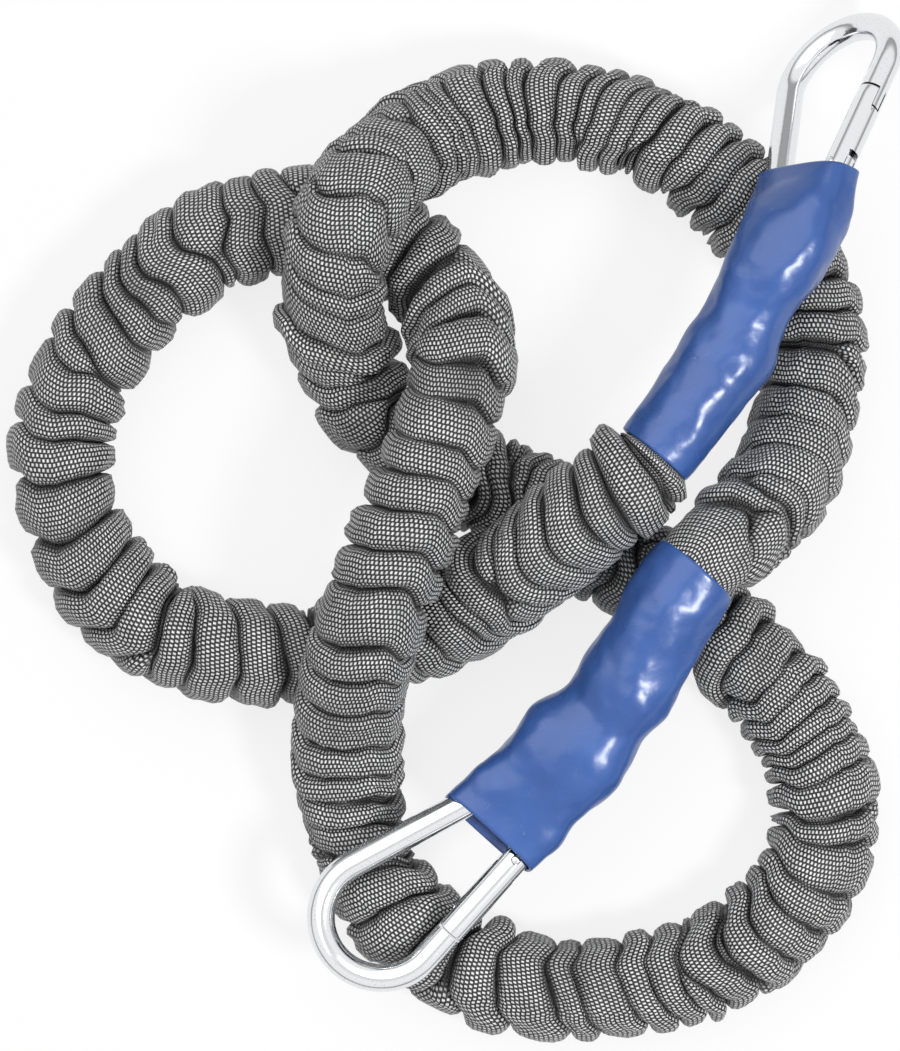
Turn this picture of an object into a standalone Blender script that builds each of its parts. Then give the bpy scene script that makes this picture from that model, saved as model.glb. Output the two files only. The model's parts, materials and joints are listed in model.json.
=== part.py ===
"""Shock absorbing lanyard: an elastic core in gathered tubular webbing, with a spring
snap hook in a heat-shrink sleeve at each end, lying in loose loops on a flat surface.
Metres, +Z up. The origin is under the middle of the hooks and sleeves, on the surface."""

import math

import bmesh
import bpy
import numpy as np
from mathutils import Matrix, Vector

# Fits
FIT = 0.0003  # gap between neighbouring pieces

# Spring snap hook, in its own frame: +X from the bow to the narrow end, +Y to the gate
WIRE_RADIUS = 0.004
BOW_RADIUS = 0.0173  # of the wide bow's centreline
NECK_RADIUS = 0.0095  # of the narrow end's centreline
HOOK_CENTRES = 0.0455  # from the bow's centre to the narrow end's
PIVOT_FROM_NECK = 0.0050  # gate rivet, short of the narrow end's centre
NOSE_FROM_PIVOT = 0.0287  # face of the nose that the gate meets
NECK_INSIDE = 0.0066  # the narrow end's centre, inside the sleeve's mouth
WIRE_SIDES = 12

# Gate, measured from its pivot towards the nose
GATE_RADIUS = 0.0042
GATE_GAP = 0.0005  # to the nose face, enough for the gate's corner to swing past
TANG_THICKNESS = 0.0032
TANG_LENGTH = 0.0036  # the flat end that the plunger presses on
TONGUE_THICKNESS = 0.0026
TONGUE_LENGTH = 0.0065
SLOT_SIDE = 0.0003  # clearance on each side of the tang and the tongue
SLOT_END = 0.0007  # clearance past the tongue's tip
LATCH_FROM_PIVOT = 0.025
LATCH_RADIUS = 0.001
NOTCH_RELIEF = 0.0004  # lets the latch pin swing out of the tongue's notch
RIVET_RADIUS = 0.0013
RIVET_PROUD = 0.0002

# Gate spring and its plunger, in a bore along the gate
SPRING_RADIUS = 0.00145
SPRING_WIRE = 0.00025
SPRING_TURNS = 6
SPRING_ROOM = 0.0103
PLUNGER_HEAD = 0.0035
PLUNGER_STEM = 0.0046

# Gathered cover and elastic core
COVER_RADIUS = 0.014
COVER_WALL = 0.0042
COVER_SIDES = 12
CORE_RADIUS = 0.005
CORE_SIDES = 8
COVER_INSERT = 0.030  # length of cover inside each sleeve
COVER_TAPER = 0.018  # from a sleeve's end to the cover's full radius
END_STEP = 0.007  # point spacing where the cover tapers
ROUTE_STEP = 0.0185  # point spacing elsewhere
STRAND_GAP = 0.0006  # between a strand and the one that crosses over it

# Ends of the core and of the webbing, inside the sleeves
CLAMP_WALL = 0.0006
CLAMP_GAP = 0.0010  # from its rim to the cover's end, which isn't quite square to it
CORE_PROUD = 0.005  # core that stands out of the cover's end
STRAP_WIDTH = 0.0095
STRAP_THICKNESS = 0.0022
BUNCH_WIDTH = 0.0054  # of the webbing where it is drawn together round the hook's neck
BUNCH_THICKNESS = 0.0030
STRAP_LEAD = 0.013  # from the hook's neck wire to the sewn legs
STRAP_OVERLAP = 0.022  # length of the sewn legs
TACK_LENGTH = 0.010
TACK_STROKES = 9
THREAD_RADIUS = 0.0004

# Heat-shrink sleeves
SLEEVE_WALL = 0.001
SLEEVE_SIDES = 24
SLEEVE_RINGS = 16
MOUTH_ROOM = 0.0032  # above and below the hook's wire, sleeve wall included
MOUTH_EASE = 0.0012  # beside the hook's legs, which it meets askew
MOUTH_SQUARENESS = 3.2  # of its section at the mouth, where 2 is an ellipse
SQUARE_FADE = 0.047  # from the mouth to a plain ellipse
HEADING_FADE = 0.0285  # from the mouth to where the sleeve follows the route

# One smooth line from one sleeve's mouth to the other's. Each point is x, y and how far up it
# lies: 0 on the surface, 1 on top of another strand. By sleeve a's mouth the underside is flat
# over the hook's legs, and it is the underside whose height the last points give.
MOUTH_POINTS = 3
ROUTE = (
    # sleeve b
    (-0.034, -0.096, 0.70),
    (-0.019, -0.082, 0.72),
    (-0.005, -0.066, 0.78),
    (0.011, -0.044, 0.92),
    # cord, over the strand that passes under sleeve b, then round the upper right
    (0.025, -0.020, 1.05),
    (0.043, -0.005, 0.76),
    (0.057, 0.021, 0.14),
    (0.061, 0.050, 0.00),
    (0.047, 0.079, 0.00),
    (0.024, 0.100, 0.00),
    (-0.004, 0.111, 0.00),
    (-0.033, 0.111, 0.03),
    (-0.059, 0.099, 0.45),
    (-0.074, 0.080, 1.05),
    (-0.079, 0.059, 0.68),
    (-0.072, 0.033, 0.06),
    # under the middle strand and out to the lower right loop
    (-0.051, 0.012, 0.00),
    (-0.023, -0.001, 0.00),
    (0.004, -0.017, 0.00),
    (0.031, -0.037, 0.00),
    (0.056, -0.065, 0.00),
    (0.064, -0.096, 0.00),
    (0.047, -0.125, 0.00),
    (0.012, -0.141, 0.00),
    (-0.026, -0.140, 0.00),
    (-0.058, -0.122, 0.00),
    (-0.073, -0.094, 0.00),
    (-0.074, -0.065, 0.42),
    # middle strand, up over two others
    (-0.069, -0.039, 1.03),
    (-0.049, 0.013, 1.05),
    (-0.042, 0.039, 0.80),
    (-0.051, 0.065, 0.15),
    # left loop
    (-0.076, 0.080, 0.00),
    (-0.110, 0.076, 0.00),
    (-0.139, 0.055, 0.00),
    (-0.157, 0.023, 0.00),
    (-0.154, -0.009, 0.00),
    (-0.132, -0.036, 0.00),
    (-0.101, -0.045, 0.00),
    (-0.070, -0.043, 0.00),
    (-0.044, -0.033, 0.22),
    (-0.024, -0.019, 0.78),
    (-0.005, -0.004, 1.07),
    # sleeve a
    (0.012, 0.011, 1.05),
    (0.023, 0.026, 1.05),
    (0.033, 0.040, 1.05),
    (0.042, 0.057, 0.92),
    (0.050, 0.072, 0.96),
    (0.057, 0.092, 0.65),
)

# Each end: which way its hook points from the sleeve's mouth, how far hook and mouth are rolled
# about the hook's length, whether the hook then lies on its other face, whether its bow rests on
# the surface, the heading the mouth faces, the gap from the webbing eye to the core's end and the
# play between core and cover in the sleeve's grip. Over the webbing eye, sections give how much
# wider and higher than its mouth the sleeve is to each side, and its roll, at distances from the
# mouth. Over the core and cover, swells give how much wider and higher than its round end it is,
# at distances from that end.
ENDS = {
    "a": {
        "hook_heading": 71.0,
        "hook_roll": 50.0,
        "turned_over": False,
        "hook_rests": True,
        "mouth_heading": 75.0,
        "core_gap": 0.0079,
        "neck_slack": 0.0006,
        "sections": (
            (0.0132, -0.0017, 0.0038, 38.0),
            (0.0263, -0.0029, 0.0052, 14.0),
            (0.0395, -0.0045, 0.0048, 0.0),
        ),
        "swells": ((0.0357, 0.0015, 0.0008), (0.0188, 0.0011, 0.0006)),
    },
    "b": {
        "hook_heading": 218.1,
        "hook_roll": 0.0,
        "turned_over": True,
        "hook_rests": False,
        "mouth_heading": 228.0,
        "core_gap": 0.0109,
        "neck_slack": 0.0020,
        "sections": (
            (0.0116, -0.0009, 0.0016, 0.0),
            (0.0213, -0.0019, 0.0036, 0.0),
            (0.0359, -0.0011, 0.0050, 0.0),
            (0.0495, -0.0035, 0.0050, 0.0),
        ),
        "swells": ((0.0388, 0.0016, -0.0003), (0.0194, 0.0008, -0.0002)),
    },
}

# Values that follow from the ones above
FLOOR_HEIGHT = COVER_RADIUS * math.cos(math.pi / COVER_SIDES)  # a flat of the cover is down
LAYER = 2 * COVER_RADIUS + STRAND_GAP
MOUTH_HEIGHT = WIRE_RADIUS + MOUTH_ROOM  # outer half height
PIVOT_ALONG = HOOK_CENTRES - PIVOT_FROM_NECK
MOUTH_REACH = HOOK_CENTRES - NECK_INSIDE
LEG_SINE = (BOW_RADIUS - NECK_RADIUS) / HOOK_CENTRES
LEG_ANGLE = math.asin(LEG_SINE)
LEG_COSINE = math.cos(LEG_ANGLE)
TANG_CORNER = math.hypot(TANG_LENGTH, WIRE_RADIUS)
GATE_END = NOSE_FROM_PIVOT - GATE_GAP
TONGUE_TIP = NOSE_FROM_PIVOT - TONGUE_LENGTH
FORK_SLOT = TANG_THICKNESS + 2 * SLOT_SIDE
NOSE_SLOT = TONGUE_THICKNESS + 2 * SLOT_SIDE
BORE_RADIUS = SPRING_RADIUS + SPRING_WIRE + FIT
BORE_START = TANG_CORNER + FIT
PLUNGER_FACE = TANG_LENGTH + FIT
PLUNGER_BACK = PLUNGER_FACE + PLUNGER_HEAD
BORE_END = PLUNGER_BACK + SPRING_ROOM
CLEAR = 0.001  # how far a cutter runs past what it cuts
EYE_REACH = NECK_INSIDE + NECK_RADIUS  # neck wire's centre, inside the mouth
EYE_DEPTH = EYE_REACH + STRAP_LEAD + STRAP_OVERLAP
for side in ENDS.values():
    side["sleeve_length"] = EYE_DEPTH + side["core_gap"] + CORE_PROUD + COVER_INSERT
    side["neck_radius"] = CORE_RADIUS + COVER_WALL + side["neck_slack"]


def material(name, colour, roughness, metallic):
    made = bpy.data.materials.new(name)
    made.use_nodes = True
    shader = made.node_tree.nodes["Principled BSDF"]
    shader.inputs["Base Color"].default_value = (*colour, 1.0)
    shader.inputs["Roughness"].default_value = roughness
    shader.inputs["Metallic"].default_value = metallic
    return made


def clear_scene():
    for obj in list(bpy.data.objects):
        bpy.data.objects.remove(obj)


def add(name, data, collection, look=None, parent=None, place=None):
    """An object of this mesh or curve, placed in its parent's frame."""
    obj = bpy.data.objects.new(name, data)
    collection.objects.link(obj)
    if look:
        data.materials.append(look)
    obj.parent = parent
    if place:
        obj.matrix_basis = place
    return obj


def empty(name, collection, place, parent=None):
    return add(name, None, collection, parent=parent, place=place)


# ---- shapes ---------------------------------------------------------------------------


def wire_curve(name, points, radius, sides, radii=None, caps=True, tilt=0.0):
    """A round bar along these points. A bevel has two more than twice as many sides as its
    resolution, so sides is even and at least 4."""
    curve = bpy.data.curves.new(name, "CURVE")
    curve.dimensions = "3D"
    curve.twist_mode = "Z_UP"
    curve.bevel_depth = radius
    curve.bevel_resolution = sides // 2 - 2
    curve.use_fill_caps = caps
    spline = curve.splines.new("POLY")
    spline.points.add(len(points) - 1)
    for i, point in enumerate(points):
        spline.points[i].co = (*point, 1.0)
        spline.points[i].tilt = tilt
        spline.points[i].radius = radii[i] if radii else 1.0
    return curve


def mesh_from_curve(curve):
    """The curve's surface as a mesh with its caps welded on, so that it takes a Boolean."""
    holder = bpy.data.objects.new("holder", curve)
    bpy.context.scene.collection.objects.link(holder)
    graph = bpy.context.evaluated_depsgraph_get()
    mesh = bpy.data.meshes.new_from_object(holder.evaluated_get(graph))
    bpy.data.objects.remove(holder)
    shape = bmesh.new()
    shape.from_mesh(mesh)
    bmesh.ops.remove_doubles(shape, verts=shape.verts, dist=1e-6)
    bmesh.ops.recalc_face_normals(shape, faces=shape.faces)
    shape.to_mesh(mesh)
    shape.free()
    return mesh


def turned(name, profile, steps):
    """A profile of (radius, height) points, from top to bottom, turned about Z."""
    shape = bmesh.new()
    verts = [shape.verts.new((radius, 0.0, height)) for radius, height in profile]
    for pair in zip(verts, verts[1:], strict=False):
        shape.edges.new(pair)
    mesh = bpy.data.meshes.new(name)
    shape.to_mesh(mesh)
    shape.free()
    mesh["turn_steps"] = steps
    return mesh


def turn(obj):
    """Adds the Screw that turns a profile."""
    screw = obj.modifiers.new("turn", "SCREW")
    screw.steps = obj.data["turn_steps"]
    screw.render_steps = screw.steps
    screw.use_merge_vertices = True
    screw.merge_threshold = 1e-5
    screw.use_smooth_shade = True
    return obj


def box_mesh(name, low, high):
    shape = bmesh.new()
    bmesh.ops.create_cube(shape, size=1.0)
    low, high = Vector(low), Vector(high)
    for vert in shape.verts:
        vert.co = [low[i] + (vert.co[i] + 0.5) * (high[i] - low[i]) for i in range(3)]
    mesh = bpy.data.meshes.new(name)
    shape.to_mesh(mesh)
    shape.free()
    return mesh


def bar_mesh(name, radius, length, place, sides=20):
    """A plain cylinder about its own Z, moved to this place."""
    shape = bmesh.new()
    bmesh.ops.create_cone(
        shape, cap_ends=True, segments=sides, radius1=radius, radius2=radius, depth=length
    )
    bmesh.ops.transform(shape, matrix=place, verts=shape.verts)
    mesh = bpy.data.meshes.new(name)
    shape.to_mesh(mesh)
    shape.free()
    return mesh


def loft(name, rings, capped):
    """Faces between successive rings of points, and over both ends if capped."""
    shape = bmesh.new()
    rows = [[shape.verts.new(point) for point in ring] for ring in rings]
    for row, after in zip(rows, rows[1:], strict=False):
        for i in range(len(row)):
            j = (i + 1) % len(row)
            shape.faces.new((row[i], row[j], after[j], after[i]))
    if capped:
        shape.faces.new(reversed(rows[0]))
        shape.faces.new(rows[-1])
    bmesh.ops.recalc_face_normals(shape, faces=shape.faces)
    mesh = bpy.data.meshes.new(name)
    shape.to_mesh(mesh)
    shape.free()
    mesh.shade_smooth()
    return mesh


def cut(obj, cutter, name):
    """Takes the cutter away from the object."""
    cutter.hide_render = True
    cutter.display_type = "WIRE"
    boolean = obj.modifiers.new(name, "BOOLEAN")
    boolean.operation = "DIFFERENCE"
    boolean.solver = "EXACT"
    boolean.object = cutter


# ---- the cord's route -----------------------------------------------------------------


def cubic_through(points, per_span):
    """Points on the cubic spline through these points, with steady curvature at each."""
    points = np.array(points)
    chord = np.linalg.norm(np.diff(points, axis=0), axis=1)
    count = len(points)
    left = np.eye(count)
    right = np.zeros_like(points)
    slope = np.diff(points, axis=0) / chord[:, None]
    for i in range(1, count - 1):
        left[i, i - 1 : i + 2] = chord[i - 1], 2 * (chord[i - 1] + chord[i]), chord[i]
        right[i] = 6 * (slope[i] - slope[i - 1])
    bend = np.linalg.solve(left, right)
    found = [points[0]]
    for i in range(count - 1):
        for step in range(1, per_span + 1):
            b = step / per_span
            a = 1 - b
            found.append(
                a * points[i]
                + b * points[i + 1]
                + ((a**3 - a) * bend[i] + (b**3 - b) * bend[i + 1]) * chord[i] ** 2 / 6
            )
    return np.array(found)


class Route:
    """The smooth line from mouth to mouth, read by distance along it."""

    def __init__(self):
        placed = [[x, y, FLOOR_HEIGHT + LAYER * lift] for x, y, lift in ROUTE]
        for point in placed[-MOUTH_POINTS:]:
            point[2] += MOUTH_HEIGHT
        self.points = cubic_through(placed, 24)
        self.points[:, 2] = np.maximum(self.points[:, 2], FLOOR_HEIGHT)
        steps = np.linalg.norm(np.diff(self.points, axis=0), axis=1)
        self.at = np.concatenate([[0.0], np.cumsum(steps)])
        self.length = float(self.at[-1])

    def point(self, distance):
        return Vector([float(np.interp(distance, self.at, axis)) for axis in self.points.T])

    def heading(self, distance):
        reach = 0.001
        ahead = min(distance + reach, self.length)
        behind = max(distance - reach, 0.0)
        return (self.point(ahead) - self.point(behind)).normalized()

    def from_mouth(self, end, distance):
        """Distance along the route of a place this far inside an end's mouth."""
        return distance if end == "b" else self.length - distance

    def inward(self, end, distance):
        """Direction away from an end's mouth at this distance inside it."""
        heading = self.heading(self.from_mouth(end, distance))
        return heading if end == "b" else -heading


def hook_matrix(end, route):
    """The hook's frame: it points from its sleeve's mouth along its heading, lying level or
    tipped until its bow rests on the surface."""
    side = ENDS[end]
    mouth = route.point(route.from_mouth(end, 0.0))
    roll = math.radians(side["hook_roll"])
    heading = math.radians(side["hook_heading"])
    pitch = 0.0
    if side["hook_rests"]:
        for _ in range(60):
            level = math.cos(roll) * math.cos(pitch)
            rest = BOW_RADIUS * math.sqrt(1 - level**2) + WIRE_RADIUS
            pitch = math.asin((mouth.z - rest) / MOUTH_REACH)
    outward = Vector(
        (
            math.cos(heading) * math.cos(pitch),
            math.sin(heading) * math.cos(pitch),
            -math.sin(pitch),
        )
    )
    along = -outward
    across = Vector((0.0, 0.0, 1.0)).cross(along).normalized()
    frame = Matrix((along, across, along.cross(across))).transposed()
    if side["turned_over"]:
        roll += math.pi
    turned_frame = frame.to_4x4() @ Matrix.Rotation(roll, 4, "X")
    return Matrix.Translation(mouth + outward * MOUTH_REACH) @ turned_frame


# ---- the hook -------------------------------------------------------------------------


def leg_at(along, side):
    """A point on the centreline of the gate leg (side 1) or the spine (side -1)."""
    return Vector((along, side * (BOW_RADIUS - along * LEG_SINE) / LEG_COSINE, 0.0))


def arc(centre, radius, start, end, steps):
    turns = [start + (end - start) * i / steps for i in range(steps + 1)]
    return [centre + radius * Vector((math.cos(t), math.sin(t), 0.0)) for t in turns]


def pivot_matrix():
    """The gate's frame in the hook's: +Z from the pivot to the nose, +X the hook's normal."""
    to_nose = Vector((-LEG_COSINE, LEG_SINE, 0.0))
    normal = Vector((0.0, 0.0, 1.0))
    frame = Matrix((normal, to_nose.cross(normal), to_nose)).transposed()
    return Matrix.Translation(leg_at(PIVOT_ALONG, 1)) @ frame.to_4x4()


def hook_path():
    """From the tongue's tip round the bow, down the spine, round the neck to the tang."""
    pivot = pivot_matrix()
    square = math.pi / 2
    bow = arc(Vector(), BOW_RADIUS, square - LEG_ANGLE, 3 * square + LEG_ANGLE, 28)
    centre = Vector((HOOK_CENTRES, 0.0, 0.0))
    neck = arc(centre, NECK_RADIUS, LEG_ANGLE - square, square - LEG_ANGLE, 16)
    tip = pivot @ Vector((0.0, 0.0, TONGUE_TIP))
    end = pivot @ Vector((0.0, 0.0, TANG_LENGTH))
    return [tip, *bow, *neck, end]


def across_bar(name, radius, along, offset=0.0):
    """A cutter or pin across the gate, along the hook's normal."""
    place = Matrix.Translation((0.0, offset, along)) @ Matrix.Rotation(math.pi / 2, 4, "Y")
    return bar_mesh(name, radius, 2 * GATE_RADIUS + 4 * CLEAR, place)


def make_hook(end, frame, parts, cutters, looks):
    """The frame, gate, rivet, latch pin, spring and plunger of one hook."""
    hook = empty("hook_" + end, parts, frame)
    pivot = empty("gate_pivot_" + end, parts, pivot_matrix(), hook)
    wide = WIRE_RADIUS + CLEAR

    def cutter(name, mesh):
        return add(name + "_" + end, mesh, cutters, parent=pivot)

    bent = wire_curve("hook_wire", hook_path(), WIRE_RADIUS, WIRE_SIDES)
    body = mesh_from_curve(bent)
    body.shade_smooth()
    body.set_sharp_from_angle(angle=math.radians(50))
    body = add("hook_frame_" + end, body, parts, looks["steel"], hook)
    tail = -(GATE_RADIUS + SLOT_SIDE)
    past = TANG_LENGTH + CLEAR
    for way, mark in ((1, "front"), (-1, "back")):
        near, far = sorted((way * TANG_THICKNESS / 2, way * wide))
        cheek = box_mesh("tang_cheek", (near, -wide, tail), (far, wide, past))
        cut(body, cutter("tang_cheek_" + mark, cheek), "tang " + mark)
        near, far = sorted((way * TONGUE_THICKNESS / 2, way * wide))
        low = TONGUE_TIP - CLEAR
        cheek = box_mesh("tongue_cheek", (near, -wide, low), (far, wide, NOSE_FROM_PIVOT))
        cut(body, cutter("tongue_cheek_" + mark, cheek), "tongue " + mark)
    inside = (pivot.matrix_basis.to_3x3().transposed() @ Vector((0.0, -1.0, 0.0))).y
    notch = LATCH_RADIUS + FIT
    near, far = sorted((0.0, math.copysign(wide, inside)))
    slot = (-wide, near, LATCH_FROM_PIVOT - notch - NOTCH_RELIEF)
    slot = box_mesh("latch_notch", slot, (wide, far, LATCH_FROM_PIVOT + notch))
    cut(body, cutter("latch_notch", slot), "latch notch")
    seat = across_bar("latch_seat", notch, LATCH_FROM_PIVOT)
    cut(body, cutter("latch_seat", seat), "latch seat")
    hole = across_bar("rivet_hole", RIVET_RADIUS + FIT, 0.0)
    hole = cutter("rivet_hole", hole)
    cut(body, hole, "rivet hole")

    tip = [(0.0, GATE_END), (GATE_RADIUS - 2 * FIT, GATE_END), (GATE_RADIUS, GATE_END - 2 * FIT)]
    turns = [i / 6 * math.pi / 2 for i in range(7)]
    tail_round = [(GATE_RADIUS * math.cos(t), -GATE_RADIUS * math.sin(t)) for t in turns]
    tail_round[-1] = (0.0, -GATE_RADIUS)
    gate = turned("gate", tip + tail_round, 24)
    gate = turn(add("gate_" + end, gate, parts, looks["steel"], pivot))
    wide = GATE_RADIUS + CLEAR
    half = FORK_SLOT / 2
    fork = box_mesh("fork_slot", (-half, -wide, -wide), (half, wide, BORE_START))
    cut(gate, cutter("fork_slot", fork), "fork slot")
    half = NOSE_SLOT / 2
    low = TONGUE_TIP - SLOT_END
    nose = box_mesh("nose_slot", (-half, -wide, low), (half, wide, GATE_END + CLEAR))
    cut(gate, cutter("nose_slot", nose), "nose slot")
    depth = BORE_END - PLUNGER_FACE + CLEAR
    bore = Matrix.Translation((0.0, 0.0, BORE_END - depth / 2))
    cut(gate, cutter("spring_bore", bar_mesh("spring_bore", BORE_RADIUS, depth, bore)), "bore")
    cut(gate, hole, "rivet hole")
    pin_hole = across_bar("latch_hole", LATCH_RADIUS + FIT, LATCH_FROM_PIVOT)
    cut(gate, cutter("latch_hole", pin_hole), "latch hole")

    sideways = Matrix.Rotation(math.pi / 2, 4, "Y")
    half = GATE_RADIUS + RIVET_PROUD
    edge = RIVET_RADIUS - FIT
    profile = [(0.0, half), (edge, half), (RIVET_RADIUS, half - FIT)]
    profile += [(r, -h) for r, h in reversed(profile)]
    rivet = turned("gate_rivet", profile, 16)
    turn(add("gate_rivet_" + end, rivet, parts, looks["rivet"], pivot, sideways))
    half = GATE_RADIUS - FIT
    edge = LATCH_RADIUS - FIT
    profile = [(0.0, half), (edge, half), (LATCH_RADIUS, half - FIT)]
    profile += [(r, -h) for r, h in reversed(profile)]
    pin = turned("latch_pin", profile, 12)
    seat = Matrix.Translation((0.0, 0.0, LATCH_FROM_PIVOT)) @ sideways
    turn(add("latch_pin_" + end, pin, parts, looks["rivet"], pivot, seat))

    head = BORE_RADIUS - FIT
    stem = SPRING_RADIUS - SPRING_WIRE - FIT
    profile = [
        (0.0, PLUNGER_BACK + PLUNGER_STEM),
        (stem, PLUNGER_BACK + PLUNGER_STEM),
        (stem, PLUNGER_BACK),
        (head, PLUNGER_BACK),
        (head, PLUNGER_FACE),
        (0.0, PLUNGER_FACE),
    ]
    plunger = turned("spring_plunger", profile, 16)
    turn(add("spring_plunger_" + end, plunger, parts, looks["spring"], pivot))
    low = PLUNGER_BACK + FIT + SPRING_WIRE
    high = BORE_END - FIT - SPRING_WIRE
    per_turn = 9
    count = SPRING_TURNS * per_turn
    coil = []
    for i in range(count + 1):
        t = 2 * math.pi * i / per_turn
        height = low + (high - low) * i / count
        coil.append((SPRING_RADIUS * math.cos(t), SPRING_RADIUS * math.sin(t), height))
    coil = wire_curve("gate_spring", coil, SPRING_WIRE, 8)
    add("gate_spring_" + end, coil, parts, looks["spring"], pivot)
    return hook


# ---- the sleeve and what it holds -----------------------------------------------------


def section_frame(end, route, distance):
    """Point, way in, across and up at a distance inside an end's mouth, before any roll. The
    mouth faces its own heading, which fades into the route's."""
    inward = route.inward(end, distance)
    heading = math.radians(ENDS[end]["mouth_heading"])
    fade = max(0.0, 1 - distance / HEADING_FADE)
    level = math.hypot(inward.x, inward.y)
    mouth = Vector((-math.cos(heading) * level, -math.sin(heading) * level, inward.z))
    inward = inward.lerp(mouth, fade).normalized()
    across = Vector((0.0, 0.0, 1.0)).cross(inward).normalized()
    return route.point(route.from_mouth(end, distance)), inward, across, inward.cross(across)


def sleeve_sizes(end, distance):
    """Outer half width, half height and roll at a distance inside a sleeve's mouth."""
    side = ENDS[end]
    wide = leg_at(MOUTH_REACH, 1).y + WIRE_RADIUS + MOUTH_EASE + SLEEVE_WALL
    grip = side["neck_radius"] + 2 * FIT + SLEEVE_WALL
    length = side["sleeve_length"]
    rows = [(0.0, wide, MOUTH_HEIGHT, side["hook_roll"])]
    rows += [(at, wide + w, MOUTH_HEIGHT + h, roll) for at, w, h, roll in side["sections"]]
    rows += [(length - at, grip + w, grip + h, 0.0) for at, w, h in side["swells"]]
    places, *sizes = zip(*rows, (length, grip, grip, 0.0), strict=True)
    return [float(np.interp(distance, places, size)) for size in sizes]


def rolled_frame(end, route, distance):
    """Point, across and up at a distance inside an end's mouth, rolled as the sleeve is."""
    point, inward, across, up = section_frame(end, route, distance)
    roll = sleeve_sizes(end, distance)[2]
    rolled = Matrix.Rotation(math.radians(roll), 3, inward)
    return point, rolled @ across, rolled @ up


def oval(point, across, up, half_width, half_height, squareness):
    """A closed section: an ellipse at squareness 2, and squarer above that."""
    ring = []
    for i in range(SLEEVE_SIDES):
        t = 2 * math.pi * i / SLEEVE_SIDES
        c, s = math.cos(t), math.sin(t)
        x = math.copysign(abs(c) ** (2 / squareness), c) * half_width
        y = math.copysign(abs(s) ** (2 / squareness), s) * half_height
        ring.append(point + x * across + y * up)
    return ring


def make_sleeve(end, route, parts, looks):
    """The shrunk tube: flat over the hook's legs at the mouth, round at the cord."""
    rings = []
    for i in range(SLEEVE_RINGS + 1):
        distance = ENDS[end]["sleeve_length"] * i / SLEEVE_RINGS
        width, height, _ = sleeve_sizes(end, distance)
        point, across, up = rolled_frame(end, route, distance)
        square = 2 + (MOUTH_SQUARENESS - 2) * max(0.0, 1 - distance / SQUARE_FADE)
        rings.append(oval(point, across, up, width, height, square))
    name = "shrink_sleeve_" + end
    sleeve = add(name, loft(name, rings, False), parts, looks["sleeve"])
    wall = sleeve.modifiers.new("wall", "SOLIDIFY")
    wall.thickness = SLEEVE_WALL
    wall.offset = -1.0
    wall.use_even_offset = True


def make_eye(end, hook, route, parts, looks):
    """The end of the webbing, folded round the hook's neck, and its bar tack."""
    bow_side = NECK_RADIUS - math.sqrt(NECK_RADIUS**2 - (BUNCH_WIDTH / 2) ** 2)
    turn_radius = WIRE_RADIUS + 2 * FIT + bow_side + BUNCH_THICKNESS / 2
    apart = STRAP_THICKNESS / 2 + FIT
    sewn_from = EYE_REACH + STRAP_LEAD
    centre = hook @ Vector((HOOK_CENTRES + NECK_RADIUS, 0.0, 0.0))
    along, across, normal = [hook.to_3x3().col[i] for i in range(3)]
    if ENDS[end]["turned_over"]:
        across, normal = -across, -normal

    def leg(distance, way):
        """A place on one leg, with its width and thickness as vectors."""
        point, wide, up = rolled_frame(end, route, distance)
        return point + way * apart * up, wide * STRAP_WIDTH, way * up * STRAP_THICKNESS

    def tangent(distance, way):
        """The turn at which the strap leaves the neck wire for this place on a leg."""
        aim = leg(distance, way)[0] - centre
        aim = Vector((aim.dot(along), aim.dot(normal)))
        turned_by = math.atan2(aim.y, aim.x)
        return turned_by + way * math.acos(turn_radius / aim.length)

    places = [sewn_from + i * STRAP_OVERLAP / 5 for i in range(6)]
    sections = [leg(place, 1) for place in reversed(places)]
    start, stop = tangent(sewn_from, 1), 2 * math.pi + tangent(sewn_from, -1)
    for i in range(11):
        t = start + (stop - start) * i / 10
        out = math.cos(t) * along + math.sin(t) * normal
        sections.append((centre + turn_radius * out, across * BUNCH_WIDTH, out * BUNCH_THICKNESS))
    sections += [leg(place, -1) for place in places]
    rings = []
    for point, wide, thick in sections:
        a, b = wide / 2, thick / 2
        rings.append([point - a - b, point + a - b, point + a + b, point - a + b])
    name = "webbing_eye_" + end
    add(name, loft(name, rings, True), parts, looks["webbing"])

    stitch = []
    middle = sewn_from + STRAP_OVERLAP / 2
    rise = apart + STRAP_THICKNESS / 2 + FIT + THREAD_RADIUS
    for i in range(TACK_STROKES + 1):
        distance = middle + TACK_LENGTH * (i / TACK_STROKES - 0.5)
        point, wide, up = rolled_frame(end, route, distance)
        swing = (STRAP_WIDTH / 2 - 2 * THREAD_RADIUS) * (1 if i % 2 else -1)
        stitch.append(point + up * rise + wide * swing)
    thread = wire_curve("bar_tack", stitch, THREAD_RADIUS, 6)
    add("bar_tack_" + end, thread, parts, looks["thread"])


def make_clamp(end, core, parts, looks):
    """A pressed steel cup over the elastic core's end."""
    tip, after = (core[0], core[1]) if end == "b" else (core[-1], core[-2])
    floor = FIT + CLAMP_WALL
    outer = CORE_RADIUS + floor
    rim = CORE_PROUD - CLAMP_GAP
    profile = [
        (0.0, -FIT),
        (CORE_RADIUS + FIT, -FIT),
        (CORE_RADIUS + FIT, rim),
        (outer, rim),
        (outer, -floor),
        (0.0, -floor),
    ]
    place = (after - tip).to_track_quat("Z", "Y").to_matrix().to_4x4()
    cup = turned("core_clamp", profile, 20)
    turn(add("core_clamp_" + end, cup, parts, looks["spring"], place=Matrix.Translation(tip) @ place))


# ---- the cord -------------------------------------------------------------------------


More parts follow.
